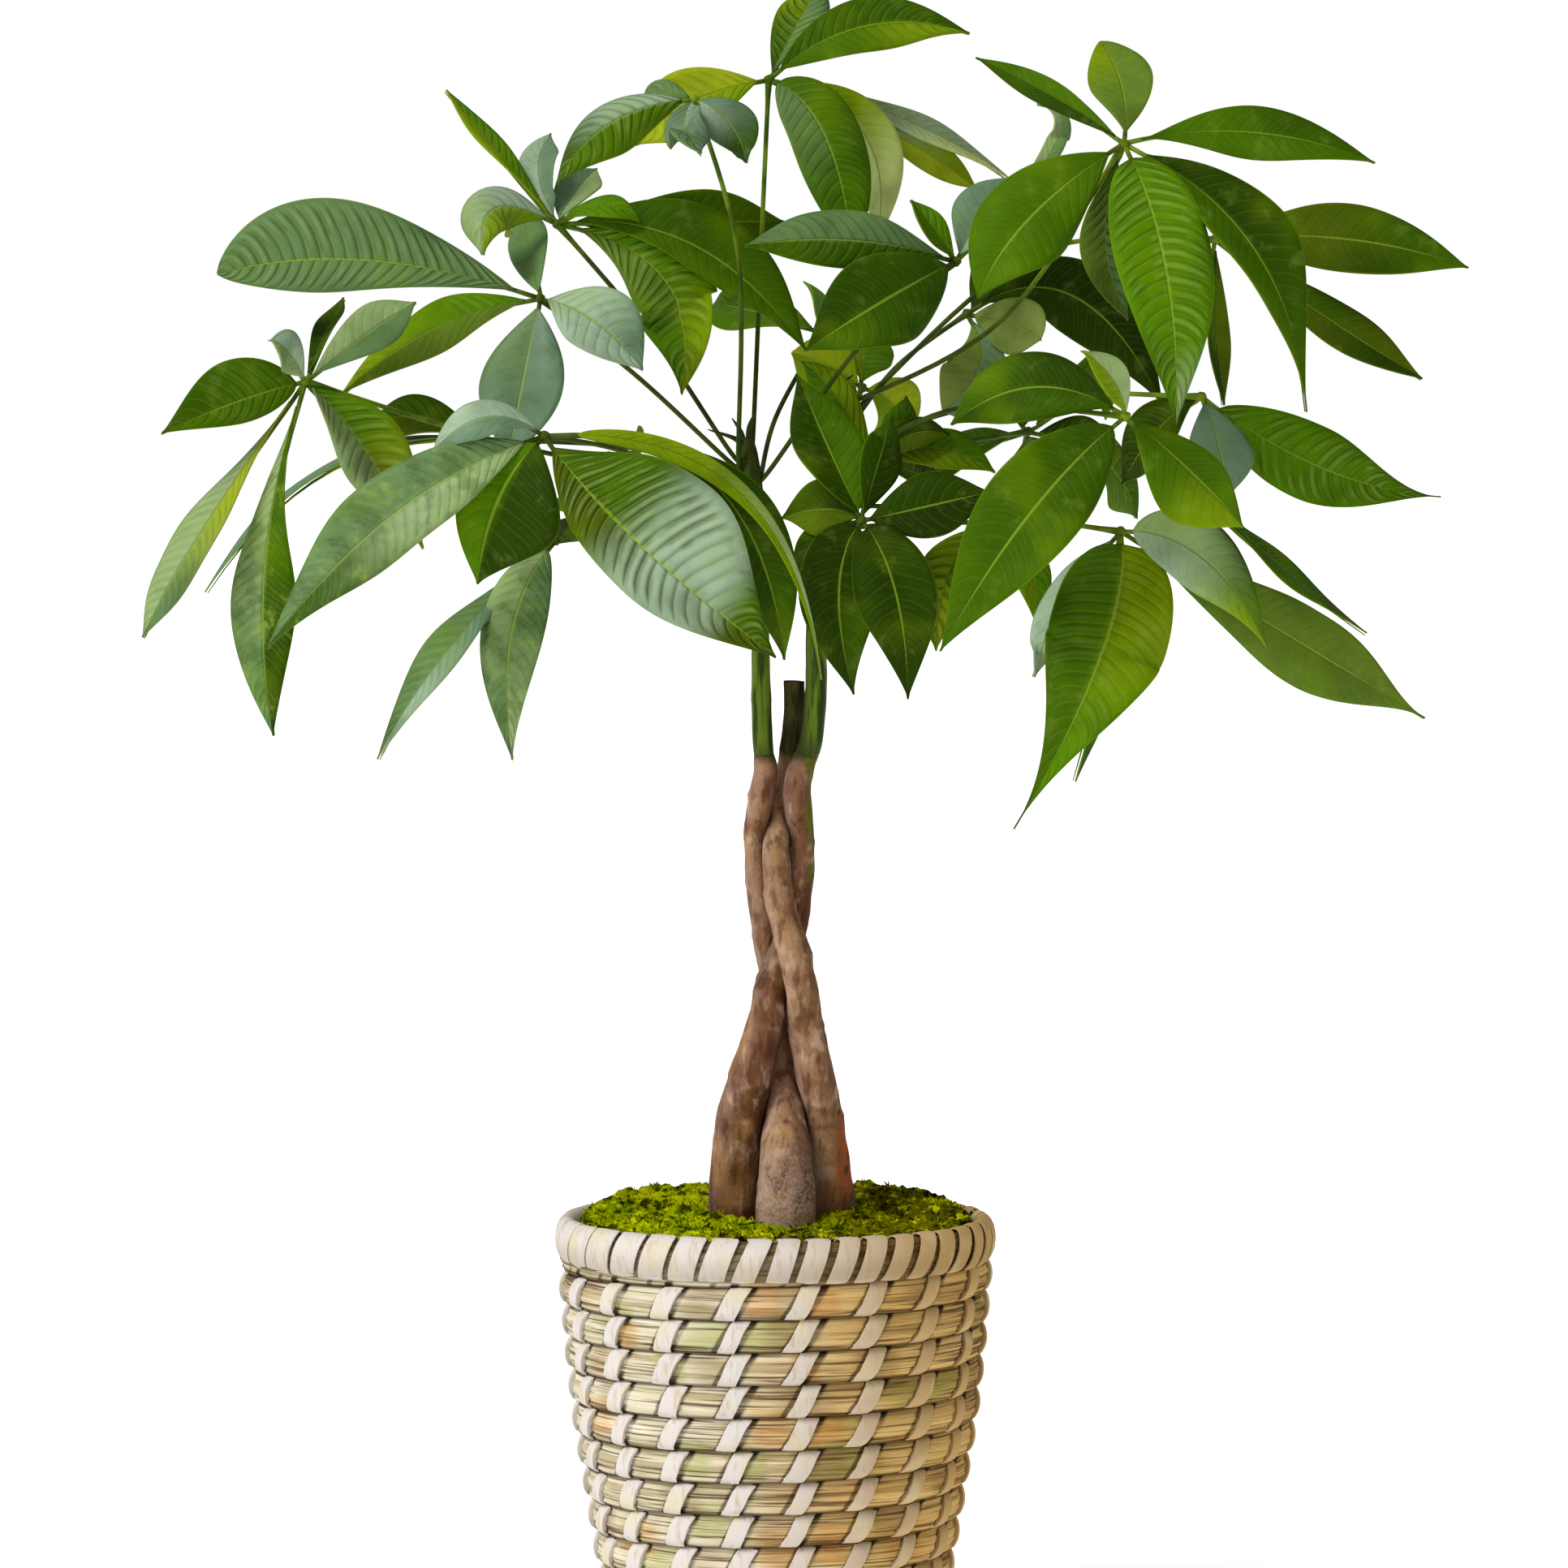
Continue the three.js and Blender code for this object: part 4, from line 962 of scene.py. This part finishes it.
def leaflet(hub, ma, mu, mt, ta, tu, tt, width, turn, words, widest=0.55):
    """The midrib's middle is at ma, mu, mt and its tip at ta, tu, tt."""
    tones, marks = read_words(words)
    middle, tip = place(ma, mu, mt), place(ta, tu, tt)
    pull = middle * 2 - hub * 0.5 - tip * 0.5
    outward = math.copysign(1, ta - AIM_ACROSS)
    length = (middle - hub).length + (tip - middle).length
    waves = length / (0.026 + chance.random() * 0.01)
    phases = [chance.uniform(0, math.tau) for _ in range(4)]
    droop = chance.uniform(0.1, 0.26) + marks["droop"]
    twist = chance.uniform(-11, 11)
    cache = {}

    def frame_at(t):
        if t not in cache:
            at = on_curve(hub, pull, tip, t)
            ahead = on_curve(hub, pull, tip, t + 0.01) - on_curve(hub, pull, tip, t - 0.01)
            turned = turn + twist * (2 * t - 1)
            cache[t] = (at, *blade_frame(at, ahead.normalized(), turned, outward))
        return cache[t]

    mid_side = frame_at(TAKE_OFF + (1 - TAKE_OFF) * 0.5)[2]
    first_half = 1 if mid_side.z - 0.7 * mid_side.x > 0 else -1

    def lay(along, across):
        t = TAKE_OFF + (1 - TAKE_OFF) * round(along, 4)
        at, face, side = frame_at(t)
        s = 2 * across - 1
        half = width * 0.5 * half_width(t, widest, marks["foot"], marks["point"])
        half *= 1 + marks["lean"] * (1 if s * first_half > 0 else -1)
        half = max(half, 0.35) * MM
        rise = half * (marks["fold"] * math.sqrt(s * s + 0.006) - droop * s * s)
        ends = math.sin(math.pi * min(along * 1.05, 1))
        margin = s * s * abs(s) * half * ends
        wave = math.sin(along * waves * 2 + phases[0 if s > 0 else 1]) * 0.15
        slow = math.sin(along * 4.2 + phases[2 if s > 0 else 3]) * 0.16
        return at + side * (half * s) + face * (rise + margin * (wave + slow))

    steps = max(20, int(length / (0.0024)))
    blade = sheet("blade", steps, BLADE_COLUMNS, lay)
    shade = chance.uniform(0.9, 1.1)
    colours = blade.data.attributes.new("tone", "FLOAT_COLOR", "POINT")
    for i, entry in enumerate(colours.data):
        column, step = divmod(i, steps + 1)
        across, along = 2 * column / BLADE_COLUMNS - 1, step / steps
        turned = ease((along - marks["turns"]) / marks["spread"])
        turned *= min(max((marks["back"] - along) / 0.1, 0), 1)
        weight = 0.5 + 0.5 * max(-1, min(1, across * first_half / 0.1))
        shares = [a * b for a in (1 - turned, turned) for b in (weight, 1 - weight)]
        tone = [sum(s * c for s, c in zip(shares, channel)) for channel in zip(*tones)]
        entry.color = [c * shade for c in tone[:3]] + [1]
    relief = blade.data.attributes.new("relief", "FLOAT_COLOR", "POINT")
    for entry in relief.data:
        entry.color = (marks["ribs"], marks["mottle"], marks["gloss"], 1)
    for corner in blade.data.uv_layers[0].uv:
        corner.vector.x *= length / (VEIN_GAP * MM)
    modify(blade, "SOLIDIFY", thickness=BLADE_THICKNESS * MM, offset=-1, material_offset=1)

    ts = [i / 14 for i in range(15)]
    line = [frame_at(t)[0] - frame_at(t)[1] * (0.0009 if t > TAKE_OFF else 0.0003) for t in ts]
    rib = length_of("rib", line, [(1.15 - 0.88 * t) * MM for t in ts], sides=8)
    return blade, rib


# %% The stalk of a leaf
def stalk(side, height, by, hub):
    rows = SHOOTS["shoot_" + side]
    i = max(k for k in range(len(rows) - 1) if rows[k][0] <= height)
    s = (height - rows[i][0]) / (rows[i + 1][0] - rows[i][0])
    z, across, toward, r = [a + (b - a) * s for a, b in zip(rows[i], rows[i + 1])]
    centre = Vector((across, -toward, height)) * MM
    heading = Vector((hub.x - centre.x, hub.y - centre.y, 0)).normalized()
    start = centre + heading * (r - 0.6) * MM
    knee = centre + heading * (r + 3.4) * MM
    run = even_out([start, knee, place(*by), hub], 10)
    radii = []
    for k in range(len(run)):
        t = k / (len(run) - 1)
        radii.append((1.12 + 1.1 * bell(t, 0.05) + 0.7 * bell(1 - t, 0.05)) * MM)
    return length_of("stalk", run, radii, sides=12)


# %% [markdown]
# ## The blade's finish
# The upper face is satin, with a fine pale midrib and arched side veins sunk
# between low swellings. The blade's UV map carries the pattern: across it runs from
# margin to margin, and along it counts the veins. Tone and marks come from the
# mesh, and the lower face is duller and lighter.

# %% Finish the blades
def blade_finish(name, dull, **constants):
    """The finish of one face. The lower one is dull: lighter, with no shine."""
    finish = Finish(name, **constants)
    tone = finish.attribute("tone")
    ribs, mottling, gloss = finish.attribute("relief").parts()
    along, across, _ = finish.uv.parts()
    out = ((across * 2) - 1).math("ABSOLUTE")
    other_half = across.math("GREATER_THAN", 0.5) * 0.4
    wander = finish.noise(32.0, detail=1) * 0.9
    beat = (along + other_half + wander - out * 0.8 - out * out * 1.1).math("FRACT")
    near = (beat - 0.5).math("ABSOLUTE") * 2
    midrib = out.between(0.055, 0.012)
    inside = out.between(1.0, 0.7)
    mottle = finish.noise(90.0, detail=4, roughness=0.62)
    patch = finish.noise(24.0, detail=2)
    quilt_light_and_shade = finish.noise(62.0, detail=1).between(0.4, 0.6) * inside * ribs
    # Beside the sunken veins the blade is painted darker as shade, and midway between them
    # lighter as a painted highlight on the swellings; mottle, patches, veins and margin are the
    # blade's own colour.
    colour = tone.coats(
        (mottle, 0.52, 0.38, mottling * 0.34 + 0.05, (44, 70, 4)),
        (mottle, 0.54, 0.72, mottling * 0.35 + 0.03, (150, 174, 70)),
        (patch, 0.5, 0.72, 0.25, (118, 148, 0)),
        (patch, 0.46, 0.3, 0.35, (26, 50, 0)),
        (near, 0.15, 0.85, quilt_light_and_shade * 0.26, (30, 54, 0)),
        (near, 0.5, 0.1, quilt_light_and_shade * 0.1, (186, 200, 130)),
        (near, 0.7, 0.98, inside * (ribs * 0.16 + 0.02), (160, 182, 70)),
        (out, 0.95, 1.0, 0.15, (150, 172, 30)),
    )
    colour = (midrib * 0.55).mix(colour, (138, 164, 44))
    if dull:
        colour = colour.node("ShaderNodeMix", {0: dull, 6: colour, 7: sRGB(108, 134, 52)},
                             output=2, data_type="RGBA")
    else:
        finish.set("Coat Weight", gloss.between(0.3, 1.0) * 0.22)
    finish.set("Base Color", colour)
    quilt = (1 - near ** 3.0) * (ribs * 0.9 + 0.1) * inside
    finish.bump(quilt + (1 - midrib) * 0.5 + mottle * 0.2, 0.0012, 0.9)
    return finish


upper = blade_finish("leaf_upper", 0, Roughness=0.6, Specular_IOR_Level=0.03,
                     Coat_Roughness=0.4)
lower = blade_finish("leaf_lower", 0.3, Roughness=0.7, Specular_IOR_Level=0.03)

# %% Finish the stalks
petiole = Finish("leaf_stalk", Roughness=0.5, Specular_IOR_Level=0.08)
tint = petiole.noise(60.0, detail=2)
east, _, height = petiole.object.parts()
green = tint.between(0.35, 0.65).mix((58, 84, 6), (112, 136, 26))
# Stalks low in the middle of the crown are painted dark as the shade under the leaves.
middle = east.math("ABSOLUTE").between(0.15, 0.1) * 0.72
petiole.set("Base Color", green.coats((height, 0.662, 0.63, middle, (34, 46, 4))))


# %% [markdown]
# ## The leaves, one by one
# A leaf's stalk leaves the left or right shoot at a height, passes one point and
# ends at the hub. A leaflet's row gives the middle and the tip of its midrib as
# across, up and toward, then width, turn and words, the upper or left half first,
# and where it is widest, if not at 0.55 of its length.

# %% Build a leaf
SLOTS = {entry["node"]: entry["material_slot"] for entry in frame["record"]["subparts"]}


def leaf(name, side, height, by, hub, rows):
    hub = place(*hub)
    blades, round_parts = [], [stalk(side, height, by, hub)]
    for row in rows:
        blade, rib = leaflet(hub, *row)
        dress(blade, upper, lower)
        blades.append(blade)
        round_parts.append(rib)
    let_go()
    bpy.ops.mesh.primitive_uv_sphere_add(segments=16, ring_count=12, radius=1)
    knuckle = bpy.context.object
    for vertex in knuckle.data.vertices:
        lobe = 2.3 + 0.5 * noise.noise(vertex.co * 1.6 + hub * 40)
        vertex.co = vertex.co * lobe * MM + hub
    round_parts.append(knuckle)
    for piece in round_parts:
        dress(piece, petiole)
    whole = join(blades + round_parts, name + "_look")
    smooth(whole)
    stand_for(whole, name, SLOTS[name])


# %% Leaves at the left
leaf("leaf_far_left", "left", 535, (-118, 553, 22), (-216, 583, 60), [
    (-248, 573, 78, -282, 559, 96, 30, 15, "mid mid deep mid upper", 0.42),
    (-260, 519, 86, -291, 465, 92, 27, 42, "pale gold pale grey slim glossy", 0.62),
    (-234, 500, 84, -231, 420, 80, 32, 36, "pale mid grey dark mottled slim", 0.58),
    (-191, 553, 62, -162, 506, 70, 34, 35, "pale bright pale gold ribbed folded"),
    (-224, 596, 88, -232, 602, 112, 18, 30, "silver pale plain"),
    (-206, 605, 30, -198, 621, 4, 13, 50, "dark deep plain"),
    (-188, 604, 44, -165, 619, 34, 24, 30, "pale grey plain"),
])
leaf("leaf_upper_left", "left", 545, (-62, 584, 4), (-108, 621, 20), [
    (-186, 638, 36, -256, 632, 44, 43, 12, "grey ribbed blunt broad upper", 0.64),
    (-155, 607, -6, -199, 577, -16, 28, 42, "bright sage lime olive"),
    (-115, 586, 34, -123, 546, 40, 40, 20, "grey blue blue blue plain glossy"),
    (-83, 610, 34, -61, 588, 42, 36, 25, "silver silver blue silver glossy"),
    (-112, 642, -14, -116, 664, -48, 20, 25, "grey plain"),
])
leaf("leaf_front_left", "left", 517, (-62, 548, 62), (-106, 558, 116), [
    (-173, 523, 128, -234, 460, 124, 38, 25, "grey pale grey deep mottled glossy", 0.5),
    (-133, 566, 122, -158, 549, 118, 18, 30, "silver blue plain glossy"),
    (-127, 529, 122, -137, 490, 112, 50, 16, "bright dark plain lower", 0.5),
    (-66, 511, 150, 0, 456, 142, 62, 14, "mid olive silver silver furrowed upper sheened"),
    (-30, 537, 112, 4, 455, 92, 34, 22, "dark deep deep dark plain slim", 0.68),
    (-18, 533, 119, 21, 446, 99, 10, 20, "lime lime pale lime plain", 0.32),
])
leaf("leaf_low_left", "left", 509, (-52, 512, 28), (-101, 510, 44), [
    (-148, 462, 62, -183, 409, 58, 22, 48, "grey blue grey silver slim"),
    (-121, 468, 66, -121, 409, 52, 30, 15, "pale grey grey pale mottled", 0.45),
    (-80, 514, 56, -64, 500, 66, 24, 40, "deep"),
    (-90, 520, 6, -84, 530, -38, 30, 60, "dark"),
])
leaf("leaf_high_left", "left", 550, (-56, 603, -8), (-100, 655, -12), [
    (-127, 687, -30, -151, 716, -46, 15, 62, "lime bright"),
    (-128, 662, 6, -134, 641, 22, 26, 20, "silver lime pale lime glossy droopy"),
    (-108, 678, -34, -103, 696, -60, 20, 20, "silver blue plain glossy"),
    (-92, 669, -40, -82, 680, -72, 20, 25, "blue pale plain"),
    (-80, 663, 2, -62, 656, 4, 14, 45, "bright"),
    (-51, 629, 6, -43, 577, 18, 38, 15, "sage bright bright lime ribbed", 0.58),
    (-38, 645, 6, 14, 597, 12, 31, 25, "deep mid mid mid plain upper"),
    (-45, 656, -42, 4, 656, -66, 30, 12, "deep dark plain", 0.6),
])

# %% Leaves at the top
leaf("leaf_top", "left", 554, (-6, 655, -28), (-3, 721, -26), [
    (40, 745, -28, 89, 742, -34, 27, 22, "deep mid deep lime", 0.5),
    (10, 745, -50, 21, 765, -84, 24, 35, "deep grey lime grey ribbed"),
    (-37, 711, -18, -64, 691, -20, 32, 15, "gold lime gold gold"),
    (22, 696, -12, 35, 642, -6, 36, 18, "grey mid bright bright broad blunt", 0.5),
    (40, 697, -30, 46, 646, -38, 28, 18, "milk lime milk milk plain"),
    (57, 703, -50, 108, 675, -72, 16, 58, "pale silver silver milk"),
    (52, 697, -42, 92, 671, -58, 18, 42, "pale gold lime gold plain", 0.72),
])
leaf("leaf_top_left", "left", 547, (-17, 640, 27), (-37, 712, 34), [
    (-75, 701, 46, -100, 673, 54, 25, 26, "silver mid deep mid ribbed droopy", 0.5),
    (-41, 700, 58, -34, 687, 82, 22, 35, "silver blue blue grey glossy"),
    (-22, 702, 48, -13, 683, 56, 24, 20, "silver blue dark deep plain glossy"),
    (-52, 713, 16, -58, 705, -4, 18, 50, "grey"),
])

# %% Leaves at the right
leaf("leaf_high_right", "right", 572, (104, 611, 30), (160, 692, 66), [
    (128, 713, 52, 92, 731, 40, 13, 20, "mid dark mid deep plain"),
    (159, 717, 44, 149, 738, 12, 29, 8, "sage sage lime sage plain blunt slim", 0.5),
    (217, 697, 60, 275, 683, 48, 24, 14, "mid mid deep mid plain slim", 0.5),
    (117, 658, 84, 93, 621, 92, 42, 10, "mid plain", 0.52),
    (179, 634, 92, 184, 563, 94, 46, 14, "bright bright bright pale ribbed broad late", 0.42),
    (219, 643, 70, 244, 569, 62, 36, 36, "mid dark mid deep drawn slim plain folded", 0.42),
    (151, 650, 48, 162, 611, 40, 24, 30, "sage grey ribbed"),
])
leaf("leaf_far_right", "right", 567, (118, 641, -2), (202, 648, 6), [
    (262, 648, 8, 318, 635, 0, 33, 14, "olive olive deep deep plain", 0.5),
    (251, 613, 6, 297, 584, -4, 24, 34, "deep olive olive dark plain", 0.6),
    (202, 610, 20, 206, 572, 22, 16, 50, "dark olive plain"),
])
leaf("leaf_right", "right", 554, (112, 576, -20), (196, 576, 22), [
    (251, 543, 34, 306, 530, 30, 36, 12, "bright bright mid mid ribbed drawn", 0.42),
    (204, 552, 42, 208, 530, 50, 30, 15, "blue blue grey blue plain glossy"),
    (176, 560, 6, 160, 536, -16, 30, 40, "dark"),
])
leaf("leaf_front_right", "right", 546, (86, 571, 54), (161, 567, 118), [
    (117, 522, 138, 76, 459, 130, 45, 8, "deep deep mid mid plain", 0.45),
    (120, 580, 112, 81, 563, 98, 36, 20, "dark deep deep dark plain"),
    (155, 583, 136, 141, 597, 152, 16, 30, "pale lime plain"),
    (191, 541, 116, 215, 516, 104, 34, 20, "deep mid mid lime plain lower", 0.5),
    (215, 512, 92, 272, 467, 60, 22, 74, "deep"),
])
leaf("leaf_low_right", "right", 526, (84, 524, 44), (159, 514, 84), [
    (150, 457, 116, 110, 377, 108, 55, 6, "mid lime mid bright drawn broad", 0.38),
    (150, 450, 84, 138, 399, 74, 20, 70, "mid deep"),
    (196, 502, 92, 226, 461, 88, 33, 20, "pale silver mid lime plain glossy", 0.42),
    (234, 467, 62, 299, 428, 40, 36, 14, "sage plain drawn", 0.58),
    (134, 483, 78, 119, 447, 74, 22, 30, "silver pale plain"),
])

# %% Leaves in the middle
leaf("leaf_inner_right", "left", 541, (38, 598, 26), (83, 638, 22), [
    (36, 647, 46, -14, 645, 58, 30, 28, "grey deep"),
    (50, 620, 66, 14, 597, 84, 44, 10, "deep deep dark deep plain", 0.5),
    (95, 659, 8, 108, 676, -10, 30, 20, "blue silver plain glossy"),
    (73, 652, 28, 62, 666, 30, 13, 30, "bright mid"),
    (128, 690, -14, 120, 710, -30, 10, 24, "pale grey plain slim", 0.5),
])
leaf("leaf_inner_dark", "right", 561, (56, 590, -16), (88, 614, -14), [
    (110, 608, -2, 122, 602, 6, 28, 10, "khaki plain broad blunt"),
    (94, 590, 8, 77, 569, 20, 32, 15, "khaki blue plain broad blunt", 0.66),
    (136, 622, -30, 178, 572, -44, 36, 18, "black dark plain"),
    (102, 630, -44, 110, 640, -86, 26, 40, "dark"),
])
leaf("leaf_centre", "right", 505, (32, 516, 26), (40, 519, 62), [
    (29, 488, 76, 36, 439, 72, 38, 10, "dark dark dark deep plain broad", 0.46),
    (55, 486, 80, 61, 437, 74, 36, 12, "dark plain broad", 0.46),
    (68, 525, 68, 99, 532, 66, 31, 12, "dark black plain"),
    (24, 506, 56, 8, 488, 50, 28, 24, "dark black plain", 0.5),
    (25, 550, 48, 10, 586, 34, 32, 20, "dark mid dark deep plain", 0.5),
    (46, 543, 50, 54, 566, 38, 22, 30, "deep dark plain"),
    (24, 524, 52, 3, 520, 46, 26, 16, "dark olive plain"),
])
leaf("leaf_centre_green", "right", 536, (36, 541, -4), (46, 545, 0), [
    (74, 552, 12, 101, 541, 14, 20, 20, "bright lime"),
    (29, 574, 2, 12, 592, 0, 18, 20, "lime bright"),
    (56, 561, 6, 60, 576, 4, 16, 25, "bright mid"),
    (62, 558, 14, 80, 558, 16, 16, 30, "dark olive plain"),
    (64, 540, -14, 78, 530, -44, 24, 50, "dark"),
])
leaf("leaf_centre_low", "right", 515, (62, 518, 14), (100, 518, 36), [
    (80, 495, 52, 74, 459, 56, 26, 12, "lime bright lime gold ribbed"),
    (116, 500, 44, 120, 470, 44, 18, 20, "lime bright"),
    (96, 495, 34, 92, 478, 20, 30, 30, "lime bright ribbed"),
])

# %% Leaves at the back
leaf("leaf_back_glow", "right", 550, (34, 566, -34), (40, 580, -62), [
    (24, 590, -66, 8, 596, -84, 30, 10, "gold lime plain"),
    (40, 596, -84, 42, 603, -124, 30, 20, "lime bright"),
    (54, 572, -80, 60, 556, -110, 30, 20, "gold lime plain"),
    (30, 564, -92, 22, 540, -128, 38, 20, "lime gold plain"),
])
leaf("leaf_back_left", "left", 526, (-34, 545, -58), (-60, 543, -112), [
    (-82, 534, -138, -96, 532, -172, 38, 60, "deep mid"),
    (-58, 530, -156, -52, 504, -192, 40, 55, "mid deep"),
    (-30, 530, -140, -8, 512, -160, 36, 55, "deep"),
    (-66, 546, -160, -64, 540, -212, 36, 65, "mid"),
])
leaf("leaf_left_behind", "left", 540, (-70, 553, -20), (-134, 556, 6), [
    (-204, 543, -8, -262, 486, -22, 18, 76, "blue grey plain"),
    (-162, 566, -2, -186, 563, -14, 22, 30, "deep olive"),
    (-152, 552, -44, -158, 544, -86, 30, 60, "dark deep"),
])
leaf("leaf_back_right", "right", 529, (66, 550, -54), (116, 560, -108), [
    (148, 548, -138, 166, 520, -168, 42, 55, "deep mid"),
    (112, 540, -150, 104, 512, -190, 42, 55, "mid deep"),
    (80, 546, -140, 58, 526, -172, 36, 55, "deep"),
    (140, 576, -144, 150, 582, -196, 34, 60, "mid bright"),
    (104, 574, -156, 92, 580, -214, 36, 60, "mid deep"),
])
leaf("leaf_back", "left", 532, (0, 566, -72), (22, 606, -112), [
    (-10, 614, -150, -28, 618, -198, 34, 60, "mid deep"),
    (20, 610, -154, 26, 618, -210, 40, 60, "bright mid"),
    (40, 620, -140, 62, 628, -178, 36, 60, "mid"),
    (30, 576, -148, 34, 548, -184, 34, 55, "deep mid"),
])


# %% [markdown]
# ## Pot and soil
# Only a glimpse of them can show, so they keep the frame's own solids and get a
# finish.

# %% Finish pot and soil
plastic = Finish("pot_plastic", Roughness=0.55, Base_Color=sRGB(38, 38, 36))
earth = Finish("soil", Roughness=0.95)
crumb = earth.noise(300.0, detail=4)
earth.set("Base Color", crumb.between(0.35, 0.65).mix((30, 20, 14), (76, 56, 40)))
dress(frame["nodes"]["grow_pot"], plastic)
dress(frame["nodes"]["soil"], earth)


# %% [markdown]
# ## Floor, light and camera
# The plant stands in bright, soft daylight, mostly from the upper left. A white
# floor and a white sky fill the shadows, a wide sun gives the light its direction,
# and a large lamp at the left stands for a window.

# %% Stage the plant
let_go()
bpy.ops.mesh.primitive_plane_add(size=60, location=(0, 0, 0))
ground_plane = bpy.context.object
WHITE = (1, 1, 1, 1)
paper = Finish("white_paper", Roughness=1.0, Specular_IOR_Level=0.0, Base_Color=WHITE,
               Emission_Color=WHITE, Emission_Strength=0.45)
dress(ground_plane, paper)

# %% A soft sky that is seen as plain white
world = bpy.context.scene.world or bpy.data.worlds.new("sky")
bpy.context.scene.world = world
world.use_nodes = True
sky = world.node_tree
soft, seen = sky.nodes["Background"], sky.nodes.new("ShaderNodeBackground")
for background, strength in ((soft, 0.38), (seen, 1.0)):
    background.inputs["Color"].default_value = WHITE
    background.inputs["Strength"].default_value = strength
choice = sky.nodes.new("ShaderNodeMixShader")
rays = sky.nodes.new("ShaderNodeLightPath")
sky.links.new(rays.outputs["Is Camera Ray"], choice.inputs[0])
sky.links.new(soft.outputs[0], choice.inputs[1])
sky.links.new(seen.outputs[0], choice.inputs[2])
sky.links.new(choice.outputs[0], sky.nodes["World Output"].inputs["Surface"])


# %% Sun, window and camera
def aim(thing, direction):
    thing.rotation_euler = direction.to_track_quat("-Z", "Y").to_euler()


let_go()
bpy.ops.object.light_add(type="SUN", location=(-1, -1, 3))
sun = bpy.context.object
sun.data.energy = 2.1
sun.data.angle = math.radians(22)
aim(sun, Vector((0.62, 0.52, -0.95)))

let_go()
bpy.ops.object.light_add(type="AREA", location=(-1.9, -1.8, 1.3))
window = bpy.context.object
window.name = "window"
window.data.size = 1.2
window.data.energy = 14
aim(window, Vector((0, 0, 0.45)) - window.location)

let_go()
bpy.ops.object.camera_add(location=(0, -EYE_DISTANCE * MM, EYE_HEIGHT * MM))
camera = bpy.context.object
aim(camera, Vector((AIM_ACROSS, 0, AIM_HEIGHT)) * MM - camera.location)
camera.data.lens = 174.65
camera.data.sensor_width = 36
camera.data.clip_end = 100
bpy.context.scene.camera = camera
bpy.context.scene.view_settings.view_transform = "Standard"
